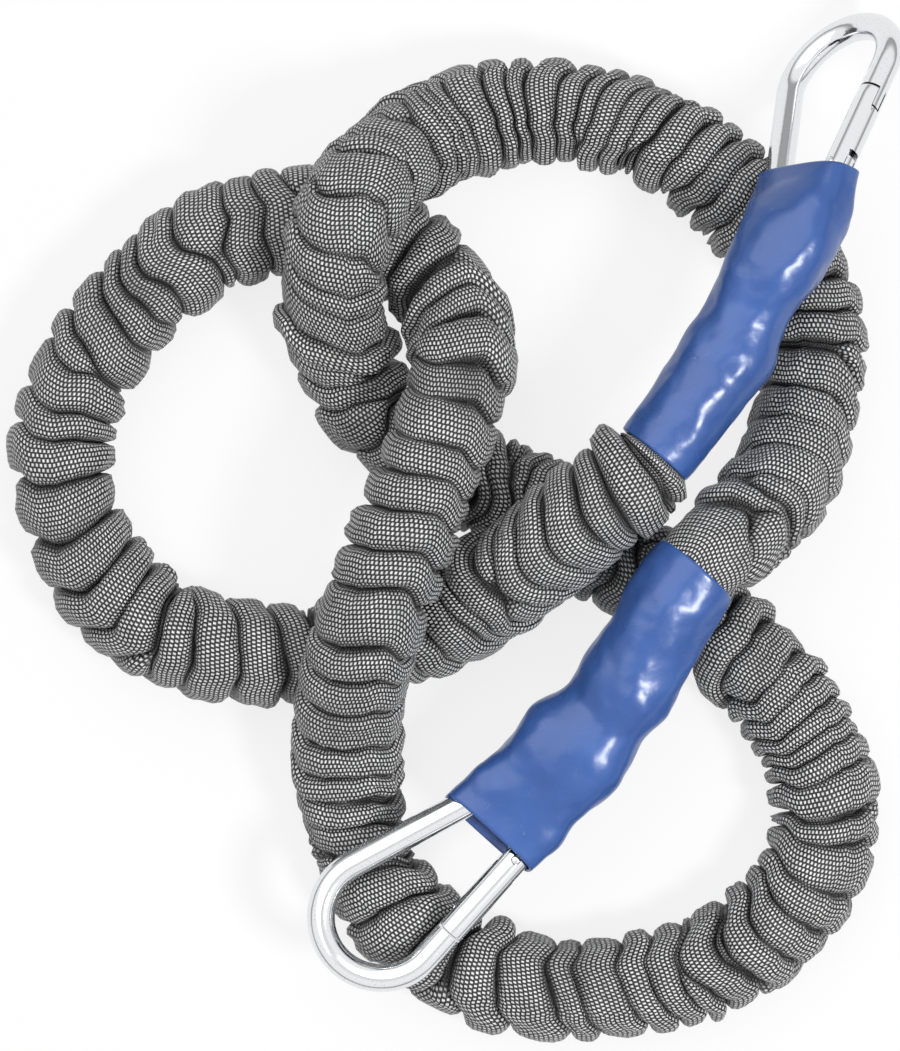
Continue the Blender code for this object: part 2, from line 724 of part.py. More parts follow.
def make_cover(route, parts, looks):
    """The gathered webbing as a plain hollow tube, narrower where the sleeves grip it."""
    start = ENDS["b"]["sleeve_length"] - COVER_INSERT
    stop = route.length - ENDS["a"]["sleeve_length"] + COVER_INSERT
    fine = COVER_INSERT + COVER_TAPER
    near = [i * END_STEP for i in range(int(fine / END_STEP) + 1)]
    middle = stop - start - 2 * near[-1]
    count = round(middle / ROUTE_STEP)
    places = near + [near[-1] + middle * i / count for i in range(1, count)]
    places += [stop - start - d for d in reversed(near)]
    points, radii = [route.point(start + place) for place in places], []
    for place in places:
        end, depth = ("b", place) if place < middle else ("a", stop - start - place)
        neck = ENDS[end]["neck_radius"] / COVER_RADIUS
        share = min(1.0, max(0.0, (depth - COVER_INSERT) / COVER_TAPER))
        radii.append(neck + (1 - neck) * math.sin(share * math.pi / 2))
    flat_down = math.pi / COVER_SIDES
    tube = wire_curve(
        "gathered_cover", points, COVER_RADIUS, COVER_SIDES, radii, caps=False, tilt=flat_down
    )
    cover = add("gathered_cover", tube, parts, looks["webbing"])
    wall = cover.modifiers.new("wall", "SOLIDIFY")
    wall.thickness = COVER_WALL
    wall.offset = -1.0
    return start, stop, points


def make_core(route, start, stop, inside, parts, looks):
    """The elastic core, from clamp to clamp through the cover's points. Returns its points."""
    points = [route.point(start - CORE_PROUD), *inside, route.point(stop + CORE_PROUD)]
    rod = wire_curve("elastic_core", points, CORE_RADIUS, CORE_SIDES)
    add("elastic_core", rod, parts, looks["elastic"])
    return points


def main():
    clear_scene()
    parts = bpy.data.collections.new("shock_absorbing_lanyard")
    cutters = bpy.data.collections.new("cutters")
    for collection in (parts, cutters):
        bpy.context.scene.collection.children.link(collection)
    looks = {
        "steel": material("zinc_plated_steel", (0.72, 0.73, 0.74), 0.22, 1.0),
        "rivet": material("rivet_steel", (0.60, 0.61, 0.62), 0.30, 1.0),
        "spring": material("spring_steel", (0.45, 0.45, 0.47), 0.35, 1.0),
        "webbing": material("grey_webbing", (0.13, 0.13, 0.135), 0.85, 0.0),
        "elastic": material("elastic_rubber", (0.05, 0.05, 0.05), 0.75, 0.0),
        "thread": material("bonded_thread", (0.03, 0.03, 0.03), 0.7, 0.0),
        "sleeve": material("blue_heat_shrink", (0.045, 0.115, 0.40), 0.28, 0.0),
    }
    route = Route()
    for end in ENDS:
        frame = hook_matrix(end, route)
        make_hook(end, frame, parts, cutters, looks)
        make_eye(end, frame, route, parts, looks)
        make_sleeve(end, route, parts, looks)
    start, stop, inside = make_cover(route, parts, looks)
    core = make_core(route, start, stop, inside, parts, looks)
    for end in ENDS:
        make_clamp(end, core, parts, looks)
    print(f"route {route.length:.4f} m, cover {stop - start:.4f} m with {len(inside)} points")


main()
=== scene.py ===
import json
import math

import bmesh
import bpy
import numpy as np
from mathutils import Matrix, Vector, noise


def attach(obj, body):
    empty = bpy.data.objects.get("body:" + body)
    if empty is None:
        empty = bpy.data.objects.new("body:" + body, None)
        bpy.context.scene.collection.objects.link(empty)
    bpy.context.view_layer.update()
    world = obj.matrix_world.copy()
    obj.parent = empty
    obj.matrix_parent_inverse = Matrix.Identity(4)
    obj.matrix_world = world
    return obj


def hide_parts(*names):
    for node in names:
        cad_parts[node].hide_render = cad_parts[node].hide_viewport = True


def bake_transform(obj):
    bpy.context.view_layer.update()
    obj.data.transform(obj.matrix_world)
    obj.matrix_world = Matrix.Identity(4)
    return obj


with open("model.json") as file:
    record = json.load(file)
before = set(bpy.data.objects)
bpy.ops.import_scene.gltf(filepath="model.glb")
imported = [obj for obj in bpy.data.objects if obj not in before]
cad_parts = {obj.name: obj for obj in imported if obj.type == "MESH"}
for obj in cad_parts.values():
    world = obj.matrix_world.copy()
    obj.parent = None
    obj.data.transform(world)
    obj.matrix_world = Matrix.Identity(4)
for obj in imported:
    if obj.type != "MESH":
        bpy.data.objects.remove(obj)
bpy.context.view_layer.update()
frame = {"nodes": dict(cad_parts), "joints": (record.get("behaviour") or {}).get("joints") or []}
joints = {joint["name"]: joint for joint in frame["joints"]}
scene = bpy.context.scene

# The lanyard lies on the floor, with +Z up. Everything is in metres unless a name says mm.
fit = 0.0003  # gap between neighbouring pieces
mm = 0.001


cameraLook = {
    "place": (-0.045, -0.008, 1.190),  # straight above the loops, looking down with +Y up
    "lens": 138.6,
    "sensor": 36.0,
}

floorLook = {
    "size": 3.0,
    "colour": "#f4f4f4",
    "bounce": "#a2a2a2",  # what cloth and plastic receive from it
    "glow": 0.90,
    "lit": 0.16,  # share of its white that reflects the lights, and so takes the shadows
}

lightLook = {
    "sky": 0.27,  # strength of the white tent's light on matt surfaces
    # grey of the tent from the horizon (0) to overhead (1), so that metal shows its shape
    "tent": ((0.0, 0.36), (0.14, 0.46), (0.30, 1.0), (0.84, 1.05), (0.95, 0.86), (1.0, 0.80)),
    "boxes": (
        # place, size across and along, watts
        ((0.55, -0.40, 1.00), (0.24, 0.24), 10.0),
        ((-0.40, 0.50, 1.20), (1.7, 1.7), 16.0),
    ),
}


def linearColour(code):
    # sRGB hex to the linear values that shaders use
    channels = [int(code[i : i + 2], 16) / 255 for i in (1, 3, 5)]
    linear = [c / 12.92 if c <= 0.04045 else ((c + 0.055) / 1.055) ** 2.4 for c in channels]
    return (*linear, 1.0)


def addNode(tree, kind, settings=None, links=None):
    # a shader node. Its settings are sockets by name or number, or its own properties, and its
    # links come from sockets, or from nodes by their first output.
    node = tree.nodes.new("ShaderNode" + kind)
    for name, value in (settings or {}).items():
        if isinstance(name, int) or name in node.inputs:
            node.inputs[name].default_value = value
        else:
            setattr(node, name, value)
    for name, source in (links or {}).items():
        socket = source.outputs[0] if isinstance(source, bpy.types.Node) else source
        tree.links.new(socket, node.inputs[name])
    return node


def newMaterial(name):
    made = bpy.data.materials.new(name)
    made.use_nodes = True
    made.node_tree.nodes.clear()
    return made, made.node_tree


def setRamp(node, stops):
    # colour stops as (position, hex colour or grey level)
    ramp = node.color_ramp
    while len(ramp.elements) < len(stops):
        ramp.elements.new(0.5)
    for element, (position, colour) in zip(ramp.elements, stops):
        element.position = position
        element.color = linearColour(colour) if isinstance(colour, str) else (colour, colour, colour, 1)


def makeCamera():
    data = bpy.data.cameras.new("camera")
    data.lens = cameraLook["lens"]
    data.sensor_width = cameraLook["sensor"]
    data.clip_start = 0.05
    data.clip_end = 20.0
    camera = bpy.data.objects.new("camera", data)
    scene.collection.objects.link(camera)
    camera.location = cameraLook["place"]
    scene.camera = camera


def makeFloorMaterial():
    # painted white board: what the camera and the metal see of it is white, with a soft shadow
    made, tree = newMaterial("paintedWhiteBoard")
    ray = addNode(tree, "LightPath")
    seen = ray.outputs["Is Camera Ray"]
    for other in ("Is Glossy Ray", "Is Transmission Ray"):
        links = {0: seen, 1: ray.outputs[other]}
        seen = addNode(tree, "Math", {"operation": "MAXIMUM"}, links)
    colour = linearColour(floorLook["colour"])
    paint = addNode(tree, "BsdfDiffuse", {"Color": linearColour(floorLook["bounce"])})
    dim = tuple(c * floorLook["lit"] for c in colour[:3]) + (1.0,)
    half = addNode(tree, "BsdfDiffuse", {"Color": dim})
    glow = addNode(tree, "Emission", {"Color": colour, "Strength": floorLook["glow"]})
    lit = addNode(tree, "AddShader", None, {0: half, 1: glow})
    mix = addNode(tree, "MixShader", None, {0: seen, 1: paint, 2: lit})
    addNode(tree, "OutputMaterial", None, {"Surface": mix})
    return made


def makeFloor():
    half = floorLook["size"] / 2
    mesh = bpy.data.meshes.new("floor")
    corners = [(-half, -half, 0), (half, -half, 0), (half, half, 0), (-half, half, 0)]
    mesh.from_pydata(corners, [], [(0, 1, 2, 3)])
    mesh.materials.append(makeFloorMaterial())
    floor = bpy.data.objects.new("floor", mesh)
    scene.collection.objects.link(floor)


def makeLights():
    for number, (place, size, power) in enumerate(lightLook["boxes"]):
        data = bpy.data.lights.new(f"softbox{number}", "AREA")
        data.shape = "RECTANGLE"
        data.size, data.size_y = size
        data.energy = power
        box = bpy.data.objects.new(f"softbox{number}", data)
        scene.collection.objects.link(box)
        box.location = place
        box.rotation_euler = (-Vector(place)).to_track_quat("-Z", "Y").to_euler()
    world = bpy.data.worlds.new("studio")
    scene.world = world
    world.use_nodes = True
    tree = world.node_tree
    tree.nodes.clear()
    where = addNode(tree, "TexCoord")
    height = addNode(tree, "SeparateXYZ", None, {0: where.outputs["Generated"]})
    grey = addNode(tree, "ValToRGB", None, {"Fac": height.outputs["Z"]})
    setRamp(grey, lightLook["tent"])
    tent = addNode(tree, "Background", {"Strength": lightLook["sky"]}, {"Color": grey})
    shine = addNode(tree, "Background", {"Strength": 1.0}, {"Color": grey})
    white = addNode(tree, "Background", {"Color": (1, 1, 1, 1), "Strength": 1.0})
    ray = addNode(tree, "LightPath")
    links = {0: ray.outputs["Is Glossy Ray"], 1: tent, 2: shine}
    glossy = addNode(tree, "MixShader", None, links)
    links = {0: ray.outputs["Is Camera Ray"], 1: glossy, 2: white}
    mix = addNode(tree, "MixShader", None, links)
    addNode(tree, "OutputWorld", None, {"Surface": mix})
    scene.view_settings.view_transform = "Standard"


cordLook = {
    "radius": 0.014,  # of the plain tube that the pleats stand on
    "tubeSides": 12,
    "strandGap": 0.0006,
    "mouthPoints": 3,  # the last ones, which give the underside of sleeve a's mouth
    "mouthHeight": 0.0072,  # from there to its middle
    "stepsPerSpan": 24,
    "sleeveLength": {"a": 0.094, "b": 0.097},
    "gripRadius": {"a": 0.0098, "b": 0.0112},  # of the cover where a sleeve holds it
}

# x, y and how far up each point lies: 0 on the floor, 1 on top of another strand
routePoints = (
    (-0.034, -0.096, 0.70), (-0.019, -0.082, 0.72), (-0.005, -0.066, 0.78), (0.011, -0.044, 0.92),
    (0.025, -0.020, 1.05), (0.043, -0.005, 0.76), (0.057, 0.021, 0.14), (0.061, 0.050, 0.00),
    (0.047, 0.079, 0.00), (0.024, 0.100, 0.00), (-0.004, 0.111, 0.00), (-0.033, 0.111, 0.03),
    (-0.059, 0.099, 0.45), (-0.074, 0.080, 1.05), (-0.079, 0.059, 0.68), (-0.072, 0.033, 0.06),
    (-0.051, 0.012, 0.00), (-0.023, -0.001, 0.00), (0.004, -0.017, 0.00), (0.031, -0.037, 0.00),
    (0.056, -0.065, 0.00), (0.064, -0.096, 0.00), (0.047, -0.125, 0.00), (0.012, -0.141, 0.00),
    (-0.026, -0.140, 0.00), (-0.058, -0.122, 0.00), (-0.073, -0.094, 0.00), (-0.074, -0.065, 0.42),
    (-0.069, -0.039, 1.03), (-0.049, 0.013, 1.05), (-0.042, 0.039, 0.80), (-0.051, 0.065, 0.15),
    (-0.076, 0.080, 0.00), (-0.110, 0.076, 0.00), (-0.139, 0.055, 0.00), (-0.157, 0.023, 0.00),
    (-0.154, -0.009, 0.00), (-0.132, -0.036, 0.00), (-0.101, -0.045, 0.00), (-0.070, -0.043, 0.00),
    (-0.044, -0.033, 0.22), (-0.024, -0.019, 0.78), (-0.005, -0.004, 1.07), (0.012, 0.011, 1.05),
    (0.023, 0.026, 1.05), (0.033, 0.040, 1.05), (0.042, 0.057, 0.92), (0.050, 0.072, 0.96),
    (0.057, 0.092, 0.65),
)


def cubicThrough(points, perSpan):
    # points on the cubic spline through these, with steady curvature at each
    points = np.array(points)
    chord = np.linalg.norm(np.diff(points, axis=0), axis=1)
    count = len(points)
    left = np.eye(count)
    right = np.zeros_like(points)
    slope = np.diff(points, axis=0) / chord[:, None]
    for i in range(1, count - 1):
        left[i, i - 1 : i + 2] = chord[i - 1], 2 * (chord[i - 1] + chord[i]), chord[i]
        right[i] = 6 * (slope[i] - slope[i - 1])
    bend = np.linalg.solve(left, right)
    found = [points[0]]
    for i in range(count - 1):
        for step in range(1, perSpan + 1):
            b = step / perSpan
            a = 1 - b
            curve = (a**3 - a) * bend[i] + (b**3 - b) * bend[i + 1]
            found.append(a * points[i] + b * points[i + 1] + curve * chord[i] ** 2 / 6)
    return np.array(found)


class Route:
    def __init__(self):
        low = cordLook["radius"] * math.cos(math.pi / cordLook["tubeSides"])
        layer = 2 * cordLook["radius"] + cordLook["strandGap"]
        placed = np.array([(x, y, low + layer * lift) for x, y, lift in routePoints])
        placed[-cordLook["mouthPoints"] :, 2] += cordLook["mouthHeight"]
        self.points = cubicThrough(placed, cordLook["stepsPerSpan"])
        self.points[:, 2] = np.maximum(self.points[:, 2], low)
        steps = np.linalg.norm(np.diff(self.points, axis=0), axis=1)
        self.at = np.concatenate([[0.0], np.cumsum(steps)])
        self.length = float(self.at[-1])

    def place(self, distance):
        # one point, or an array of points for an array of distances
        distance = np.asarray(distance, float)
        return np.stack([np.interp(distance, self.at, axis) for axis in self.points.T], axis=-1)

    def heading(self, distance, reach=0.001):
        distance = np.asarray(distance, float)
        ahead = self.place(np.minimum(distance + reach, self.length))
        way = ahead - self.place(np.maximum(distance - reach, 0.0))
        return way / np.linalg.norm(way, axis=-1, keepdims=True)

    def fromMouth(self, end, distance):
        return distance if end == "b" else self.length - distance


def acrossAndUp(heading):
    # level direction across a heading, and the one square to both
    across = np.cross((0.0, 0.0, 1.0), heading)
    across /= np.linalg.norm(across, axis=-1, keepdims=True)
    return across, np.cross(heading, across)


def meshFromRows(name, rows, uvs=None, closeEnds=False, flip=False):
    # rows is an array (row, side, 3) of rings. Each UV map is (row, side + 1, 2), or a list of two
    # such arrays with one row fewer, for the lower and the upper edges of the faces.
    count, sides = rows.shape[:2]
    index = np.arange(count * sides).reshape(count, sides)
    following = np.roll(index, -1, axis=1)
    faces = np.stack([index[:-1], following[:-1], following[1:], index[1:]], axis=-1).reshape(-1, 4)
    if flip:
        faces = faces[:, ::-1]
    faceList = faces.tolist()
    if closeEnds:
        first, last = index[0].tolist(), index[-1].tolist()
        faceList.append(first if flip else first[::-1])
        faceList.append(last[::-1] if flip else last)
    mesh = bpy.data.meshes.new(name)
    mesh.from_pydata(rows.reshape(-1, 3).tolist(), [], faceList)
    for title, grid in (uvs or {}).items():
        lower, upper = grid if isinstance(grid, list) else (grid[:-1], grid[1:])
        corners = np.stack([lower[:, :-1], lower[:, 1:], upper[:, 1:], upper[:, :-1]], axis=2)
        if flip:
            corners = corners[:, :, ::-1]
        flat = corners.reshape(-1, 2)
        layer = mesh.uv_layers.new(name=title)
        spare = len(mesh.loops) - len(flat)
        flat = np.vstack([flat, np.zeros((spare, 2))])
        layer.data.foreach_set("uv", flat.astype(np.float32).ravel())
    mesh.shade_smooth()
    mesh.update()
    return mesh


def newPiece(name, mesh, material, body, node):
    piece = bpy.data.objects.new(name, mesh)
    scene.collection.objects.link(piece)
    mesh.materials.clear()
    mesh.materials.append(material)
    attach(piece, body)
    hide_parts(node)
    return piece


def faceOut(mesh):
    # turns the faces of a closed mesh outwards
    shape = bmesh.new()
    shape.from_mesh(mesh)
    bmesh.ops.recalc_face_normals(shape, faces=shape.faces)
    shape.to_mesh(mesh)
    shape.free()


def smoothed(values, reach):
    # a soft running average down the rows
    span = np.arange(-3 * reach, 3 * reach + 1)
    weights = np.exp(-0.5 * (span / reach) ** 2)
    weights /= weights.sum()
    padded = np.pad(values, [(3 * reach, 3 * reach)] + [(0, 0)] * (values.ndim - 1), mode="edge")
    return sum(w * padded[i : i + len(values)] for i, w in enumerate(weights))


def smoothStep(value):
    value = np.clip(value, 0.0, 1.0)
    return value * value * (3 - 2 * value)


coverLook = {
    "ridgeRadius": 0.0156,  # over the tops of the pleats
    # pitch of the pleats at distances along the route
    "pitches": (
        (0.09, 0.0105), (0.13, 0.0088), (0.24, 0.0084), (0.27, 0.0058), (0.35, 0.0062), (0.38, 0.0092),
        (0.46, 0.0084), (0.50, 0.0066), (0.60, 0.0068), (0.66, 0.0084), (0.80, 0.0086), (0.86, 0.0100),
        (0.95, 0.0095), (1.02, 0.0088), (1.20, 0.0086), (1.26, 0.0078), (1.30, 0.0066), (1.38, 0.0072),
    ),
    "pleatDepth": 0.0062,
    "stepsPerPleat": 10,
    "sides": 62,
    "widthSpread": 0.26,  # how unlike each other neighbouring pleats are
    "widthLimits": (0.55, 1.7),
    "wander": 0.05,  # how much a pleat's width varies round the cord
    "fineWander": 0.01,
    "bendReach": 0.006,  # distance each way over which a bend is measured
    "sharpBend": 20,  # 1/m
    "wedgeShare": 0.36,  # pleats that fade out on the inside of a bend
    "wedgeSpan": (0.8, 2.2),  # radians each way over which they keep their width
    "wedgeFade": 0.8,  # radians in which they narrow
    "wedgeRest": 0.08,  # share of the width that stays
    "tilt": 0.0022,  # how far the pleats slant
    "tiltRoom": 0.02,  # length from each end to full slant
    "thinnest": 0.0006,  # least distance between two creases
    "lean": 0.0011,  # how far a pleat's top leans over its neighbour
    "tuck": 0.11,  # at 1/pi a crease is shut at its mouth
    "crown": (2.9, 0.56),  # powers that make a pleat's top round and its sides steep
    "creaseDepth": 0.98,  # share of the pleats' depth, its spread and its limits
    "creaseSpread": 0.36,
    "creaseLimits": (0.30, 1.30),
    "groove": 0.0009,  # depth of a half-formed crease on a pleat's top
    "grooveWidth": 0.16,
    "topSpread": 0.0006,
    "lump": 0.0005,
    "lumpGrain": 0.006,
    "loopApart": 0.06,  # length along the cord from which it counts as another strand
    "strandApart": 0.04,  # spacing within which strands press on each other
    "underside": 0.0004,  # where the floor flattens the cover
    "pathStep": 0.004,
    "reachIn": 0.012,  # length of cover inside each sleeve
    "flare": {"a": 0.005, "b": 0.016},  # length from a sleeve to full thickness
    "calm": {"a": 0.003, "b": 0.022},  # and to pleats of full depth
    "threadPitchMm": 1.16,  # along a row of the weave
    "rowPitchMm": 1.42,
    "threadsRound": 82,
    "seed": 23,
}


def softWaves(rng, rows, turn, low, high, reach=1):
    # random values that change softly round the cord and from one pleat to the next
    total = np.zeros((rows, len(turn)))
    for k in range(low, high):
        part = smoothed(rng.normal(0, 1, (rows, 2)), reach)
        part /= part.std()
        total += (part[:, :1] * np.cos(k * turn) + part[:, 1:] * np.sin(k * turn)) / (1 + k)
    return total


def bendSide(route, places):
    # the side that faces the inside of the bend, as an angle, and how sharp the bend is
    reach, soft = coverLook["bendReach"], 0.008
    change = route.heading(places + reach, soft) - route.heading(places - reach, soft)
    across, up = acrossAndUp(route.heading(places, soft))
    x, y = np.einsum("ij,ij->i", change, across), np.einsum("ij,ij->i", change, up)
    bend = np.hypot(x, y) / (2 * reach)
    return np.arctan2(y, x), np.minimum(bend / coverLook["sharpBend"], 1.0)


def pleatEdges(length, rng, route, start):
    # where each crease lies along the cord, for each side of it: (crease, side)
    look = coverLook
    places, pitches = zip(*look["pitches"])
    low, high = look["widthLimits"]
    own = []
    while sum(own) < length - 3 * mm:
        pitch = np.interp(start + sum(own), places, pitches)
        own.append(pitch * min(max(math.exp(look["widthSpread"] * rng.normal()), low), high))
    own = np.array(own)[:, None]
    count = len(own)
    turn = np.arange(look["sides"]) * 2 * math.pi / look["sides"]
    width = 1 + look["wander"] * softWaves(rng, count, turn, 1, 4)
    width = width + look["fineWander"] * softWaves(rng, count, turn, 4, 7)
    width = own * np.maximum(width, 0.3)
    # a wedge keeps its width round one side, mostly the outside of the bend where this is sharp
    inside, sharp = bendSide(route, start + np.cumsum(own[:, 0]))
    centre = inside + math.pi + rng.normal(0, 1, count) * (2.2 - 1.6 * sharp)
    half = rng.uniform(*look["wedgeSpan"], count)[:, None]
    away = np.abs((turn - centre[:, None] + math.pi) % (2 * math.pi) - math.pi)
    fade = look["wedgeFade"]
    kept = smoothStep((half + fade / 2 - away) / fade)
    kept = look["wedgeRest"] + (1 - look["wedgeRest"]) * kept
    wedge = rng.random(count)[:, None] < look["wedgeShare"]
    width = np.where(wedge, width * kept, width)
    edges = np.vstack([np.zeros(look["sides"]), np.cumsum(width, axis=0)])
    middle = edges.mean(axis=1, keepdims=True)
    drift = edges - middle
    drift -= smoothed(drift, 3)
    slant = smoothed(rng.normal(0, 1, (count + 1, 2)), 3)
    slant *= look["tilt"] / slant.std()
    drift += slant[:, :1] * np.cos(turn) + slant[:, 1:] * np.sin(turn)
    room = np.minimum(middle, middle[-1] - middle) / look["tiltRoom"]
    edges = middle + drift * smoothStep(room)
    gaps = np.maximum(np.diff(edges, axis=0), look["thinnest"])
    edges = np.vstack([np.zeros(look["sides"]), np.cumsum(gaps, axis=0)])
    return edges * (length / edges[-1])


def envelope(distance, length):
    # the cord's outer radius, and the share of full pleating, at distances along the cover
    look = coverLook
    radius = np.full_like(distance, look["ridgeRadius"])
    share = np.ones_like(distance)
    for end, depth in (("b", distance), ("a", length - distance)):
        out = depth - look["reachIn"]
        grip = cordLook["gripRadius"][end] - fit
        grown = smoothStep((out + 0.001) / look["flare"][end]) ** 0.8
        radius = np.minimum(radius, grip + (look["ridgeRadius"] - grip) * grown)
        share = np.minimum(share, 0.05 + 0.95 * smoothStep(out / look["calm"][end]))
    return radius, share


def coverGrid(length, rng, route, start):
    # distance along and radius at each point: (row, side)
    look = coverLook
    edges = pleatEdges(length, rng, route, start)
    count, sides = len(edges) - 1, look["sides"]
    turn = np.arange(sides) * 2 * math.pi / sides
    width = np.diff(edges, axis=0)
    pitch = np.maximum(width.max(axis=1, keepdims=True), 0.005)
    narrow = smoothStep(width / (0.62 * pitch))
    top = look["ridgeRadius"] + look["topSpread"] * (
        0.9 * rng.normal(0, 1, (count, 1)) + softWaves(rng, count, turn, 1, 5)
    )
    top -= look["pleatDepth"] * 0.85 * (1 - narrow)
    deep = look["creaseDepth"] + look["creaseSpread"] * softWaves(rng, count + 1, turn, 1, 5)
    valley = look["ridgeRadius"] - look["pleatDepth"] * np.clip(deep, *look["creaseLimits"])
    lean = look["lean"] * softWaves(rng, count, turn, 1, 4) * narrow
    groove = look["groove"] * np.clip(softWaves(rng, count, turn, 1, 4) * 1.6 - 0.3, 0, 1.4) * narrow
    beside = rng.uniform(-0.35, 0.35, (count, 1))
    u = np.sin(np.linspace(-1, 1, look["stepsPerPleat"] + 1) * math.pi / 2)[:, None]
    flat, steep = look["crown"]
    crown = np.maximum(1 - np.abs(u) ** flat, 0.0) ** steep
    shift = (u + 1) / 2 + look["tuck"] * np.sin(math.pi * u) / 2
    along, radius = [], []
    for i in range(count):
        foot = np.where(u < 0, valley[i], valley[i + 1])
        peak = np.maximum(top[i], np.maximum(valley[i], valley[i + 1]) + 0.0004)
        dent = groove[i] * np.exp(-(((u - beside[i]) / look["grooveWidth"]) ** 2))
        height = foot + (peak - foot) * crown - dent
        place = edges[i] + width[i] * shift + lean[i] * crown
        keep = slice(None) if i == count - 1 else slice(None, -1)
        radius.append(height[keep])
        along.append(place[keep])
    along, radius = np.vstack(along), np.vstack(radius)
    outer, share = envelope(along, length)
    radius = outer - (look["ridgeRadius"] - radius) * share
    straight = np.linspace(0, length, len(along))[:, None]
    along = along * share + straight * (1 - share)
    return along, radius


def clothRows(points):
    # how far round its pleat the cloth lies at the lower and upper edges of each face, counted
    # from the pleat's top, so that the rows of the weave run along the pleat
    steps = coverLook["stepsPerPleat"]
    step = np.linalg.norm(np.diff(points, axis=0), axis=2)
    step = step.reshape(-1, steps, step.shape[1])
    upper = np.cumsum(step, axis=1)
    lower = upper - step
    top = upper[:, steps // 2 - 1 : steps // 2]
    own = np.arange(len(step))[:, None, None] * 40 * coverLook["rowPitchMm"] * mm
    return [(edge - top + own).reshape(-1, step.shape[2]) for edge in (lower, upper)]


def squashStrands(points, middle, centres):
    # strands that lie on each other share the space between them
    look = coverLook
    far = 9.0
    spacing = np.linalg.norm(centres[:, None] - centres[None], axis=2)
    apart = np.abs(middle[:, None] - middle[None])
    spacing[apart < look["loopApart"]] = far
    # once against the nearest strand, and once against the next
    for _ in range(2):
        nearest = spacing.argmin(axis=1)
        gap = spacing[np.arange(len(centres)), nearest]
        way = (centres[nearest] - centres) / gap[:, None]
        limit = gap / 2 - fit / 2
        over = np.einsum("rsk,rk->rs", points - centres[:, None], way) - limit[:, None]
        over = np.where(gap[:, None] < look["strandApart"], np.maximum(over, 0.0), 0.0)
        points = points - over[:, :, None] * way[:, None]
        near = np.abs(middle[nearest][:, None] - middle[None]) < 0.75 * look["loopApart"]
        spacing[near] = far
    return points


def lumpy(points, size, grain):
    # soft uneven bulges in space, up to this size either way
    flat = points.reshape(-1, 3) / grain
    values = [noise.noise(Vector(p)) for p in flat.tolist()]
    return size * np.array(values).reshape(points.shape[:-1])


def makeCover(route, material):
    look = coverLook
    rng = np.random.default_rng(look["seed"])
    start = cordLook["sleeveLength"]["b"] - look["reachIn"]
    stop = route.length - cordLook["sleeveLength"]["a"] + look["reachIn"]
    length = stop - start
    along, radius = coverGrid(length, rng, route, start)
    sides = look["sides"]
    turn = np.arange(sides) * 2 * math.pi / sides
    centre = route.place(start + along)
    across, up = acrossAndUp(route.heading(start + along, 0.004))
    outer, share = envelope(along, length)
    out = across * np.cos(turn)[None, :, None] + up * np.sin(turn)[None, :, None]
    points = centre + out * radius[:, :, None]
    middle = start + along.mean(axis=1)
    inside, sharp = bendSide(route, middle)
    facing = np.maximum(np.cos(turn[None] - inside[:, None]), 0.0) * sharp[:, None]
    swell = lumpy(points, look["lump"], look["lumpGrain"])
    swell += lumpy(points, 0.7 * look["lump"], look["lumpGrain"] / 2)
    points = points + out * (swell * share * (1 + 1.6 * facing))[:, :, None]
    points = squashStrands(points, middle, route.place(middle))
    low = look["underside"]
    points[:, :, 2] = np.maximum(points[:, :, 2], low + 0.1 * (points[:, :, 2] - low))
    threads = np.arange(sides + 1) / sides * look["threadsRound"] * look["threadPitchMm"]
    # how deep in its crease each point lies, from which the webbing material paints shade into the
    # creases
    depth = (outer - radius) / look["pleatDepth"]
    depth = np.hstack([depth, depth[:, :1]])
    weave = [
        np.stack(np.broadcast_arrays(threads[None], np.hstack([edge, edge[:, :1]]) / mm), axis=-1)
        for edge in clothRows(points)
    ]
    maps = {
        "weave": weave,
        "depth": np.stack([depth, depth], axis=-1),
        "OFBake": stripMap(len(points), sides),
    }
    mesh = meshFromRows("pleatedCover", points, maps)
    cover = newPiece("pleatedCover", mesh, material, "root", "gathered_cover")
    spine = start + np.arange(0.0, length + mm, look["pathStep"])
    path = [tuple(p) for p in route.place(np.minimum(spine, stop))]


def stripMap(rows, sides, strips=4):
    # the tube laid out as strips side by side, for baking
    row = np.arange(rows) / (rows - 1) * strips
    strip = np.minimum(row.astype(int), strips - 1)
    x = (row - strip)[:, None] * np.ones(sides + 1)
    y = (strip[:, None] + np.arange(sides + 1)[None] / sides * 0.96 + 0.02) / strips
    return np.stack([x, y], axis=-1)


